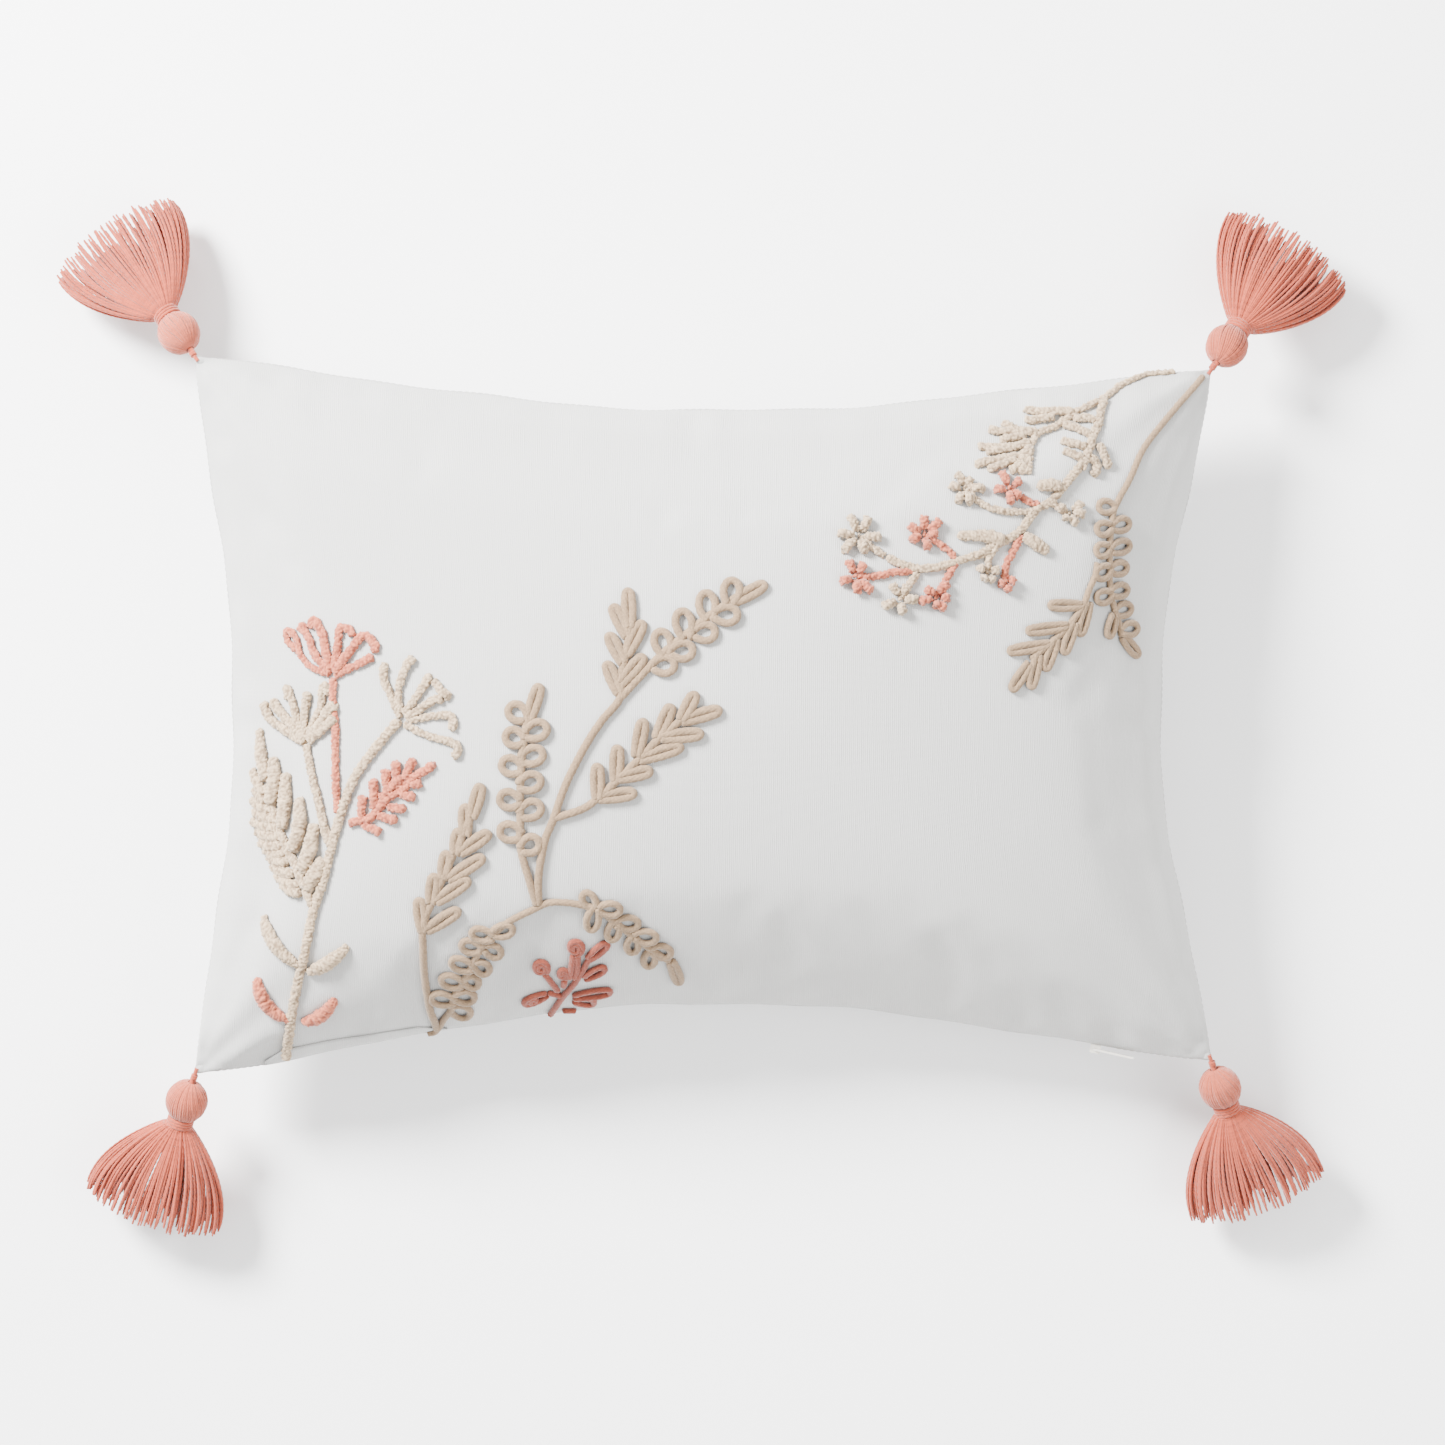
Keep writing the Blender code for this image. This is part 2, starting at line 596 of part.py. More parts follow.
def build_meadow():
    build_motif(
        "meadow_stems", "natural_pile", PILE_WIDTH,
        routes=[
            [(-205, -168), (-202, -158), (-200, -141), (-197, -126), (-194, -111), (-190, -96), (-187, -81),
             (-182, -66), (-179, -55), (-175, -39), (-169, -28), (-158, -15), (-149, -3)],
            [(-182, -65), (-186, -52), (-190, -38), (-193, -25), (-195, -15)],
            [(-197, -125), (-207, -115), (-214, -98)],
            [(-197, -126), (-184, -122), (-175, -114)],
        ],
        loops=[((-149, -3), tip, 5) for tip in ((-156, 25), (-143, 28), (-131, 15), (-124, -3), (-123, -18))]
        + [((-195, -15), tip, 5) for tip in ((-215, 5), (-204, 12), (-196, 14), (-187, 9))])
    build_motif(
        "meadow_coral_umbel", "coral_pile", PILE_WIDTH,
        routes=[[(-183, -44), (-182, -22), (-181, -3), (-182, 17)]],
        loops=[((-182, 15), tip, 5) for tip in ((-205, 40), (-197, 44), (-190, 46), (-175, 41), (-164, 34))])
    build_motif(
        "meadow_coral_fern", "coral_pile", PILE_WIDTH,
        routes=[[(-173, -53), (-169, -52), (-157, -42), (-145, -31), (-132, -23)]],
        loops=[((-168, -51), (-168, -38), 5), ((-163, -46), (-162, -31), 5), ((-155, -39), (-156, -24), 5),
               ((-151, -35), (-149, -21), 5), ((-146, -30), (-141, -20), 5), ((-168, -52), (-157, -59), 5),
               ((-160, -48), (-148, -52), 5), ((-156, -43), (-145, -46), 5), ((-152, -38), (-140, -39), 5),
               ((-146, -32), (-137, -33), 5)])
    build_motif(
        "meadow_serrated_leaf", "natural_pile", PILE_WIDTH,
        routes=[[(-196, -84), (-199, -76), (-204, -64), (-210, -48), (-215, -32), (-217, -8)]],
        loops=[((-213, -42), (-222, -26), 6), ((-211, -54), (-223, -42), 7), ((-207, -66), (-223, -54), 8),
               ((-203, -75), (-219, -66), 8), ((-198, -84), (-213, -76), 7), ((-212, -42), (-210, -22), 6),
               ((-207, -56), (-204, -31), 6), ((-202, -67), (-197, -44), 6), ((-198, -76), (-190, -57), 6),
               ((-196, -84), (-191, -74), 5)])
    build_motif("meadow_coral_leaf_left", "coral_pile", 6, routes=[[(-205, -149), (-212, -143), (-220, -130)]])
    build_motif("meadow_coral_leaf_right", "coral_pile", 6, routes=[[(-197, -151), (-190, -148), (-182, -141)]])


def build_sprigs():
    build_motif(
        "leaf_sprig", "natural_cord", CORD_WIDTH,
        routes=[[(-135, -146), (-137, -140), (-138, -123), (-138, -105), (-132, -89), (-125, -73), (-119, -60),
                 (-113, -47)]],
        loops=[((-138, -105), (-139, -90), 7), ((-133, -92), (-132, -78), 7), ((-127, -80), (-126, -67), 7),
               ((-121, -68), (-120, -56), 7), ((-116, -58), (-117, -44), 7), ((-113, -50), (-110, -35), 6),
               ((-137, -104), (-120, -95), 7), ((-131, -89), (-115, -80), 7), ((-125, -78), (-109, -70), 7),
               ((-119, -65), (-106, -58), 7)])
    build_motif(
        "berry_sprig", "natural_cord", CORD_WIDTH,
        routes=[[(-85, -91), (-88, -77), (-90, -65), (-90, -49), (-90, -35), (-89, -20), (-87, -5), (-85, 1)]],
        loops=[((-90, -57), (-101, -56), 9), ((-90, -42), (-101, -40), 9), ((-89, -25), (-100, -23), 9),
               ((-88, -13), (-98, -9), 8), ((-86, -1), (-95, 4), 8), ((-90, -63), (-81, -61), 8),
               ((-90, -47), (-79, -44), 9), ((-90, -34), (-80, -31), 9), ((-89, -22), (-79, -18), 8),
               ((-87, -9), (-76, -5), 8), ((-85, 0), (-81, 15), 7)])
    build_motif(
        "tall_sprig", "natural_cord", CORD_WIDTH,
        routes=[
            [(-80, -91), (-79, -79), (-77, -64), (-74, -52), (-68, -35), (-59, -17), (-50, -3), (-41, 8),
             (-40, 20), (-37, 35), (-35, 49)],
            [(-41, 8), (-29, 21), (-19, 31), (-9, 39), (2, 48), (14, 56)],
            [(-74, -50), (-59, -46), (-51, -40), (-41, -31), (-31, -21), (-21, -11), (-9, -1)],
        ],
        loops=[((-41, 12), (-48, 26), 7), ((-38, 27), (-46, 40), 7), ((-37, 39), (-44, 53), 7),
               ((-40, 17), (-29, 29), 6), ((-36, 31), (-29, 46), 6), ((-36, 42), (-37, 62), 5),
               ((-18, 30), (-22, 42), 9), ((-8, 38), (-10, 52), 9), ((3, 47), (1, 61), 9), ((14, 55), (14, 66), 8),
               ((-24, 25), (-13, 25), 8), ((-15, 32), (-4, 32), 8), ((-4, 41), (7, 41), 8), ((6, 50), (18, 49), 8),
               ((15, 56), (30, 64), 6),
               ((-51, -40), (-51, -24), 7), ((-42, -31), (-41, -15), 7), ((-32, -19), (-29, -2), 7),
               ((-21, -9), (-15, 5), 7), ((-10, -1), (-3, 11), 7), ((-50, -40), (-34, -38), 6),
               ((-40, -30), (-25, -27), 6), ((-30, -20), (-10, -15), 7), ((-19, -10), (0, -9), 7),
               ((-9, -2), (9, 3), 6)])
    build_motif(
        "arch_sprig", "natural_cord", CORD_WIDTH,
        routes=[
            [(-132, -155), (-128, -149), (-124, -142), (-121, -135), (-115, -126), (-109, -118), (-104, -110),
             (-95, -102), (-80, -98), (-68, -97), (-55, -95), (-48, -99), (-40, -106), (-31, -113), (-24, -119),
             (-17, -121), (-13, -130)],
            [(-126, -143), (-119, -143), (-112, -146)],
        ],
        loops=[((-101, -106), (-96, -109), 6), ((-106, -113), (-101, -117), 7), ((-111, -121), (-107, -125), 7),
               ((-116, -128), (-112, -133), 6), ((-104, -109), (-112, -105), 7), ((-108, -116), (-117, -112), 7),
               ((-114, -123), (-123, -119), 7), ((-118, -130), (-127, -129), 7), ((-122, -137), (-133, -139), 6),
               ((-53, -95), (-59, -87), 7), ((-50, -97), (-43, -92), 7), ((-42, -104), (-33, -99), 7),
               ((-33, -111), (-25, -106), 7), ((-25, -118), (-16, -113), 7), ((-55, -95), (-57, -104), 6),
               ((-46, -101), (-46, -109), 6), ((-38, -107), (-37, -115), 6), ((-30, -114), (-28, -122), 6)])
    build_motif(
        "coral_sprig", "terracotta", CORD_WIDTH,
        routes=[[(-75, -144), (-71, -139), (-65, -131), (-59, -122)], [(-71, -138), (-76, -130), (-80, -124)]],
        loops=[((-61, -125), (-63, -112), 7), ((-60, -124), (-51, -112), 7), ((-61, -127), (-49, -125), 6),
               ((-66, -134), (-71, -125), 6), ((-73, -138), (-86, -140), 7), ((-70, -138), (-57, -141), 6),
               ((-68, -136), (-46, -135), 6)])
    build_motif(
        "hanging_sprig", "natural_cord", CORD_WIDTH,
        routes=[
            [(247, 167), (239, 158), (227, 144), (217, 131), (208, 115), (202, 104), (201, 91), (200, 81),
             (199, 69), (200, 57), (203, 46), (208, 36)],
            [(199, 74), (195, 69), (191, 61), (185, 51), (176, 41), (168, 32), (160, 26)],
        ],
        loops=[((201, 100), (210, 93), 8), ((200, 89), (210, 83), 8), ((200, 78), (209, 71), 8),
               ((200, 68), (208, 61), 7), ((201, 58), (211, 51), 8), ((204, 48), (214, 42), 7),
               ((202, 102), (193, 103), 7), ((201, 94), (192, 91), 7), ((200, 84), (192, 80), 7),
               ((200, 64), (192, 57), 7), ((202, 52), (198, 41), 7), ((205, 41), (213, 30), 6),
               ((186, 54), (171, 53), 6), ((177, 43), (160, 41), 6), ((168, 33), (151, 31), 6),
               ((162, 27), (150, 13), 6), ((187, 55), (186, 40), 6), ((179, 45), (177, 31), 6),
               ((171, 36), (168, 22), 6), ((164, 29), (161, 14), 6)])


def build_blossom():
    build_motif(
        "blossom_branch", "natural_pile", PILE_WIDTH,
        routes=[
            [(234, 171), (223, 170), (208, 164), (198, 157), (186, 151), (177, 144), (166, 136)],
            [(198, 156), (195, 143), (193, 131), (189, 121), (181, 113), (175, 106), (166, 100), (160, 95),
             (154, 89), (146, 83), (136, 79), (124, 76), (112, 73), (101, 73), (90, 77)],
            [(177, 111), (163, 113)],
            [(166, 136), (161, 127), (153, 121)],
        ],
        loops=[((186, 150), (158, 149), 6), ((168, 137), (140, 141), 6), ((164, 131), (136, 132), 6),
               ((162, 125), (133, 122), 6), ((193, 141), (176, 134), 7), ((193, 131), (179, 128), 7),
               ((191, 124), (192, 114), 7), ((194, 132), (201, 120), 6), ((158, 92), (169, 80), 6),
               ((153, 89), (125, 87), 6)])
    for name, colour, stalk, centre, radius in (
        ("blossom_far_left", "natural_pile", [(88, 78), (83, 84)], (77, 89), 10),
        ("blossom_lower", "natural_pile", [(107, 69), (104, 64)], (99, 58), 8),
        ("blossom_upper", "natural_pile", [(154, 98), (138, 104)], (128, 110), 9),
        ("blossom_right", "natural_pile", [(180, 107), (181, 105)], (183, 97), 7),
        ("blossom_middle", "natural_pile", [(142, 76), (141, 74)], (141, 69), 6),
        ("coral_blossom_top", "coral_pile", [(122, 80), (116, 84)], (110, 89), 9),
        ("coral_blossom_left", "coral_pile", [(97, 68), (88, 67)], (77, 66), 8),
        ("coral_blossom_low", "coral_pile", [(122, 71), (119, 66)], (115, 58), 7),
        ("coral_blossom_back", "coral_pile", [(157, 104), (155, 106)], (150, 110), 5.5),
    ):
        build_motif(name, colour, PILE_WIDTH, routes=[[*stalk, centre]], flowers=[(centre, radius)])


def main():
    for old in list(bpy.data.objects):
        bpy.data.objects.remove(old)
    build_cover()
    build_insert()
    build_zip()
    for corner, (sign_x, sign_y, heading) in TASSELS.items():
        build_tassel(corner, sign_x, sign_y, heading)
    build_meadow()
    build_sprigs()
    build_blossom()


main()
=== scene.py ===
import json
import math
import bpy
import numpy as np
from mathutils import Matrix, Vector
from mathutils.bvhtree import BVHTree


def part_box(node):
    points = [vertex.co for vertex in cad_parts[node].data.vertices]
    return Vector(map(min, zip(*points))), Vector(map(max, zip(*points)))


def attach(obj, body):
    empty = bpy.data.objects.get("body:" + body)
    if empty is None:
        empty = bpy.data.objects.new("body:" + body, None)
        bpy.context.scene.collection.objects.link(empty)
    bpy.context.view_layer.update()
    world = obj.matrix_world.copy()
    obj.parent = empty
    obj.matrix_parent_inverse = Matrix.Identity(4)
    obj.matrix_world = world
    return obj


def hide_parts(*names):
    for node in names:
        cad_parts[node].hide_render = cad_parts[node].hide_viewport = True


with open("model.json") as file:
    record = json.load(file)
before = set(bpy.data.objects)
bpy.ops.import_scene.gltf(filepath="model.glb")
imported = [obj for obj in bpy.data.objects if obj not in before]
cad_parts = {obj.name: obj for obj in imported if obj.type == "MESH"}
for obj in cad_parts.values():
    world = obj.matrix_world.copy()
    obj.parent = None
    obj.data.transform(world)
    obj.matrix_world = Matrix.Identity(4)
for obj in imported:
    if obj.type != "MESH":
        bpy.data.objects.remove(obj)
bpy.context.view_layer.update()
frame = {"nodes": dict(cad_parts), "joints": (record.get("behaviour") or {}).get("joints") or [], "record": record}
mm = 0.001
joints = {joint["name"]: joint for joint in frame["joints"]}
corners = ("top_left", "top_right", "bottom_left", "bottom_right")


# small helpers

def addNode(tree, kind, inputs=None, **settings):
    made = tree.nodes.new(kind)
    for key, value in settings.items():
        setattr(made, key, value)
    for key, value in (inputs or {}).items():
        if isinstance(value, bpy.types.NodeSocket):
            tree.links.new(value, made.inputs[key])
        else:
            made.inputs[key].default_value = value
    return made


def maths(tree, operation, *values):
    return addNode(tree, "ShaderNodeMath", dict(enumerate(values)), operation=operation).outputs[0]


def product(tree, first, second):
    return maths(tree, "MULTIPLY", first, second)


def remap(tree, value, fromLow, fromHigh, toLow, toHigh):
    made = addNode(tree, "ShaderNodeMapRange", {0: value, 1: fromLow, 2: fromHigh, 3: toLow, 4: toHigh})
    return made.outputs[0]


def blendColours(tree, factor, first, second):
    made = addNode(tree, "ShaderNodeMix", data_type="RGBA")
    for socket, value in ((made.inputs[0], factor), (made.inputs[6], first), (made.inputs[7], second)):
        if isinstance(value, bpy.types.NodeSocket):
            tree.links.new(value, socket)
        else:
            socket.default_value = value
    return made.outputs[2]


def scaled(colour, share):
    return tuple(min(1.0, share * part) for part in colour[:3]) + (1,)


def newMaterial(name, roughness, sheen=0.0):
    made = bpy.data.materials.new(name)
    made.use_nodes = True
    shader = made.node_tree.nodes["Principled BSDF"]
    shader.inputs["Roughness"].default_value = roughness
    shader.inputs["Specular IOR Level"].default_value = 0.25
    shader.inputs["Sheen Weight"].default_value = sheen
    shader.inputs["Sheen Roughness"].default_value = 0.5
    return made, made.node_tree, shader


def meshObject(name, mesh, material=None):
    made = bpy.data.objects.new(name, mesh)
    bpy.context.scene.collection.objects.link(made)
    if material:
        mesh.materials.append(material)
    return made


def settle(piece, smooth=False):
    # the evaluated shape becomes the piece's own plain mesh
    graph = bpy.context.evaluated_depsgraph_get()
    mesh = bpy.data.meshes.new_from_object(piece.evaluated_get(graph))
    piece.modifiers.clear()
    piece.data = mesh
    if smooth:
        mesh.shade_smooth()
    return piece


def thicken(piece, thickness):
    shell = piece.modifiers.new("thickness", "SOLIDIFY")
    shell.thickness = thickness
    shell.offset = -1
    return settle(piece, smooth=True)


def lengthAlong(line):
    # distance run at each point of a line
    return np.concatenate([[0], np.cumsum(np.linalg.norm(np.diff(line, axis=0), axis=1))])


def surfaceOf(mesh):
    return BVHTree.FromPolygons([vertex.co for vertex in mesh.vertices],
                                [tuple(face.vertices) for face in mesh.polygons])


def roughen(tree, shader, height, strength, depth):
    bump = addNode(tree, "ShaderNodeBump", {"Height": height, "Strength": strength, "Distance": depth})
    tree.links.new(bump.outputs[0], shader.inputs["Normal"])


# finishes of the cloth, the yarns and the hard pieces

def clothFinish(name, colour):
    weave = {"rib": 1.05 * mm, "pick": 0.62 * mm, "slubLength": 22 * mm, "relief": 0.22 * mm}
    made, tree, shader = newMaterial(name, 0.92, sheen=0.12)
    place = addNode(tree, "ShaderNodeUVMap", uv_map="cloth").outputs[0]
    wobble = addNode(tree, "ShaderNodeTexNoise", {"Vector": place, "Scale": 90, "Detail": 2})
    rib = addNode(tree, "ShaderNodeTexWave",
                  {"Vector": place, "Scale": 0.314 / weave["rib"], "Distortion": 1.4, "Detail": 1.5,
                   "Detail Scale": 0.6}, bands_direction="X")
    pick = addNode(tree, "ShaderNodeTexWave",
                   {"Vector": place, "Scale": 0.314 / weave["pick"], "Distortion": 2.0, "Detail": 1.0},
                   bands_direction="Y")
    stretched = addNode(tree, "ShaderNodeMapping",
                        {"Vector": place, "Scale": (1 / (0.9 * mm), 1 / weave["slubLength"], 1)})
    slub = addNode(tree, "ShaderNodeTexNoise", {"Vector": stretched.outputs[0], "Scale": 1.0, "Detail": 2})
    thick = remap(tree, slub.outputs[0], 0.45, 0.75, 0.35, 1.0)
    height = maths(tree, "ADD", product(tree, rib.outputs["Fac"], thick),
                   product(tree, pick.outputs["Fac"], 0.35))
    roughen(tree, shader, height, 0.8, weave["relief"])
    # painted shade: the low parts of the weave are darker than its raised ribs
    weaveWithPaintedShade = blendColours(tree, remap(tree, height, 0.1, 0.9, 0, 1), scaled(colour, 0.87), colour)
    mottled = blendColours(tree, remap(tree, wobble.outputs[0], 0.3, 0.7, 0, 0.25), weaveWithPaintedShade,
                           scaled(colour, 0.96))
    tree.links.new(mottled, shader.inputs["Base Color"])
    return made


def yarnFinish(name, colour, paintedShadeColour, fibre=0.12, depth=0.85, base=0.7):
    # painted shade: the fourth colour darkens the creases as far as depth says, and base is how much of this
    # painted shade also darkens the foot of the yarn
    made, tree, shader = newMaterial(name, 0.95, sheen=0.3)
    place = addNode(tree, "ShaderNodeTexCoord").outputs["Object"]
    crease, around, tone = (addNode(tree, "ShaderNodeAttribute", attribute_name=name).outputs["Fac"]
                            for name in ("crease", "around", "tone"))
    off = maths(tree, "SUBTRACT", product(tree, around, 2.0), 1.0)
    rise = maths(tree, "SUBTRACT", 1.0, maths(tree, "ABSOLUTE", off))
    # painted shade on the lower sides of the yarn, fading out towards its top
    paintedFootShade = remap(tree, rise, 0.3, 0.78, base, 0)
    paintedShadeMask = maths(tree, "MAXIMUM", product(tree, maths(tree, "POWER", crease, 1.5), depth), paintedFootShade)
    soft = addNode(tree, "ShaderNodeTexNoise", {"Vector": place, "Scale": 260, "Detail": 3})
    fine = addNode(tree, "ShaderNodeTexNoise", {"Vector": place, "Scale": 2600, "Detail": 3})
    light, dim = scaled(colour, 1.12), scaled(colour, 0.86)
    body = blendColours(tree, remap(tree, soft.outputs[0], 0.3, 0.7, 0, 1), dim, light)
    body = blendColours(tree, product(tree, tone, 0.35), body, dim)
    body = blendColours(tree, remap(tree, fine.outputs[0], 0.5, 0.75, 0, 0.35), body, dim)
    # painted shade in the creases and at the foot of the yarn
    body = blendColours(tree, paintedShadeMask, body, paintedShadeColour)
    roughen(tree, shader, fine.outputs[0], 0.6, fibre * mm)
    tree.links.new(body, shader.inputs["Base Color"])
    return made


def plainFinish(name, colour, roughness, grain=400, depth=0.05):
    # moulded, enamelled or turned pieces: a fine mottle and a little unevenness in the gloss
    made, tree, shader = newMaterial(name, roughness)
    place = addNode(tree, "ShaderNodeTexCoord").outputs["Object"]
    mottle = addNode(tree, "ShaderNodeTexNoise", {"Vector": place, "Scale": grain, "Detail": 4})
    patchy = blendColours(tree, remap(tree, mottle.outputs[0], 0.3, 0.7, 0, 1), scaled(colour, 0.85), colour)
    tree.links.new(patchy, shader.inputs["Base Color"])
    tree.links.new(remap(tree, mottle.outputs[0], 0.3, 0.7, roughness - 0.08, min(1.0, roughness + 0.08)),
                   shader.inputs["Roughness"])
    roughen(tree, shader, mottle.outputs[0], 0.3, depth * mm)
    return made


finishes = {
    "slub_cotton": clothFinish("slubCotton", (0.50, 0.497, 0.482, 1)),
    "insert_casing": plainFinish("insertCasing", (0.84, 0.84, 0.85, 1), 0.9, grain=900),
    "polyester_fibre": plainFinish("polyesterFibre", (0.9, 0.9, 0.9, 1), 0.95, grain=150, depth=1.0),
    "zip_tape": plainFinish("zipTape", (0.8, 0.78, 0.74, 1), 0.9, grain=1500),
    "zip_coil": plainFinish("zipCoil", (0.76, 0.73, 0.68, 1), 0.5),
    "zip_enamel": plainFinish("zipEnamel", (0.75, 0.71, 0.64, 1), 0.35),
    "bead_wood": plainFinish("beadWood", (0.45, 0.27, 0.13, 1), 0.6, grain=220),
    # the second colour of each yarn finish is its painted shade for the creases and the foot of the yarn
    "coral_tassel_yarn": yarnFinish(
        "coralTasselYarn", (0.40, 0.070, 0.031, 1), (0.080, 0.018, 0.012, 1), base=0.3),
    "coral_head_yarn": yarnFinish(
        "coralHeadYarn", (0.42, 0.090, 0.044, 1), (0.12, 0.026, 0.016, 1), base=0.5),
    "natural_pile_yarn": yarnFinish(
        "naturalPileYarn", (0.53, 0.395, 0.255, 1), (0.15, 0.095, 0.055, 1), fibre=0.3),
    "coral_pile_yarn": yarnFinish(
        "coralPileYarn", (0.52, 0.155, 0.080, 1), (0.18, 0.037, 0.022, 1), fibre=0.3),
    "natural_cord_yarn": yarnFinish(
        "naturalCordYarn", (0.30, 0.20, 0.117, 1), (0.055, 0.033, 0.020, 1), depth=0.45),
    "terracotta_cord_yarn": yarnFinish(
        "terracottaCordYarn", (0.29, 0.062, 0.033, 1), (0.075, 0.017, 0.011, 1), depth=0.6),
}


# the yarn maker: a Geometry Nodes tree that turns guide lines into yarn

def yarnTree():
    tree = bpy.data.node_groups.new("yarnMaker", "GeometryNodeTree")
    inputs = (("Guides", "Geometry", None), ("Sides", "Int", 12), ("Step", "Float", 0.001),
              ("Flatness", "Float", 1.0), ("Strands", "Float", 0.0), ("Twist", "Float", 300.0),
              ("Groove", "Float", 0.0), ("Loops", "Float", 900.0), ("Pile", "Float", 0.0),
              ("Seed", "Int", 1), ("Finish", "Material", None))
    for name, kind, value in inputs:
        socket = tree.interface.new_socket(name=name, in_out="INPUT", socket_type="NodeSocket" + kind)
        if value is not None:
            socket.default_value = value
    tree.interface.new_socket(name="Yarn", in_out="OUTPUT", socket_type="NodeSocketGeometry")
    given = tree.nodes.new("NodeGroupInput").outputs

    def read(name, kind="FLOAT"):
        return addNode(tree, "GeometryNodeInputNamedAttribute", {"Name": name}, data_type=kind).outputs[0]

    def store(shape, name, value):
        return addNode(tree, "GeometryNodeStoreNamedAttribute",
                       {"Geometry": shape.outputs[0], "Name": name, "Value": value},
                       data_type="FLOAT", domain="POINT")

    lines = addNode(tree, "GeometryNodeMeshToCurve", {"Mesh": given["Guides"]})
    lines = addNode(tree, "GeometryNodeResampleCurve", {"Curve": lines.outputs[0], "Length": given["Step"]},
                    mode="LENGTH")
    lines = addNode(tree, "GeometryNodeSetCurveNormal",
                    {"Curve": lines.outputs[0], "Normal": read("facing", "FLOAT_VECTOR")}, mode="FREE")
    lines = store(lines, "along", addNode(tree, "GeometryNodeSplineParameter").outputs["Length"])
    circle = addNode(tree, "GeometryNodeCurvePrimitiveCircle", {"Resolution": given["Sides"], "Radius": 1.0})
    flat = addNode(tree, "ShaderNodeCombineXYZ",
                   {0: product(tree, given["Flatness"], -1.0), 1: -1.0, 2: 1.0})
    section = addNode(tree, "GeometryNodeTransform",
                      {"Geometry": circle.outputs[0], "Scale": flat.outputs[0]})
    section = store(section, "around", addNode(tree, "GeometryNodeSplineParameter").outputs["Factor"])
    skin = addNode(tree, "GeometryNodeCurveToMesh",
                   {"Curve": lines.outputs[0], "Profile Curve": section.outputs[0], "Scale": read("size"),
                    "Fill Caps": True})
    # laid strands: rounded lobes that wind along the yarn
    phase = maths(tree, "ADD", product(tree, product(tree, read("around"), given["Strands"]), math.pi),
                  product(tree, product(tree, read("along"), given["Twist"]), math.pi))
    lobe = maths(tree, "SUBTRACT", 1.0, maths(tree, "ABSOLUTE", maths(tree, "SINE", phase)))
    laid = product(tree, lobe, maths(tree, "MINIMUM", given["Strands"], 1.0))
    # looped pile: small rounded bumps with pits between them
    seeded = addNode(tree, "ShaderNodeVectorMath",
                     {0: addNode(tree, "GeometryNodeInputPosition").outputs[0],
                      1: addNode(tree, "ShaderNodeCombineXYZ", {0: given["Seed"]}).outputs[0]},
                     operation="ADD")
    cells = addNode(tree, "ShaderNodeTexVoronoi", {"Vector": seeded.outputs[0], "Scale": given["Loops"]})
    pits = remap(tree, cells.outputs["Distance"], 0.15, 0.75, 0.0, 1.0)
    fuzz = addNode(tree, "ShaderNodeTexNoise", {"Vector": seeded.outputs[0], "Scale": 350.0, "Detail": 1.0})
    uneven = maths(tree, "SUBTRACT", fuzz.outputs[0], 0.5)
    bumps = maths(tree, "SUBTRACT", maths(tree, "SUBTRACT", pits, 0.4), product(tree, uneven, 1.6))
    drop = maths(tree, "ADD", product(tree, laid, given["Groove"]), product(tree, bumps, given["Pile"]))
    hasPile = maths(tree, "MINIMUM", product(tree, given["Pile"], 9000.0), 1.0)
    inward = addNode(tree, "ShaderNodeVectorMath",
                     {0: addNode(tree, "GeometryNodeInputNormal").outputs[0],
                      "Scale": product(tree, drop, -1.0)}, operation="SCALE")
    # crease marks the grooves between strands and the pits between loops, which the yarn finishes darken with
    # painted shade
    skin = store(skin, "crease", maths(tree, "MAXIMUM", laid, product(tree, pits, hasPile)))
    skin = addNode(tree, "GeometryNodeSetPosition",
                   {"Geometry": skin.outputs[0], "Offset": inward.outputs[0]})
    for kind in ("GeometryNodeSetShadeSmooth", "GeometryNodeRealizeInstances"):
        skin = addNode(tree, kind, {"Geometry": skin.outputs[0]})
    skin = addNode(tree, "GeometryNodeSetMaterial",
                   {"Geometry": skin.outputs[0], "Material": given["Finish"]})
    tree.links.new(skin.outputs[0], tree.nodes.new("NodeGroupOutput").inputs[0])
    return tree


yarnMaker = yarnTree()
yarnKinds = {
    "pile": {"Sides": 22, "Step": 0.45 * mm, "Flatness": 0.75, "Loops": 780.0, "Pile": 0.85 * mm},
    "petal": {"Sides": 20, "Step": 0.42 * mm, "Flatness": 0.95, "Loops": 720.0, "Pile": 1.0 * mm},
    "cord": {"Sides": 24, "Step": 0.52 * mm, "Flatness": 0.88, "Strands": 6.0, "Twist": 300.0,
             "Groove": 0.26 * mm, "Loops": 1500.0, "Pile": 0.16 * mm},
    "tassel": {"Sides": 6, "Step": 1.1 * mm, "Strands": 2.0, "Twist": 290.0, "Groove": 0.2 * mm},
    "winding": {"Sides": 7, "Step": 1.0 * mm, "Flatness": 0.9, "Strands": 2.0, "Twist": 330.0,
                "Groove": 0.14 * mm},
    "tie": {"Sides": 12, "Step": 0.3 * mm, "Strands": 2.0, "Twist": 160.0, "Groove": 0.6 * mm},
    "thread": {"Sides": 6, "Step": 0.7 * mm, "Strands": 2.0, "Twist": 900.0, "Groove": 0.05 * mm},
}


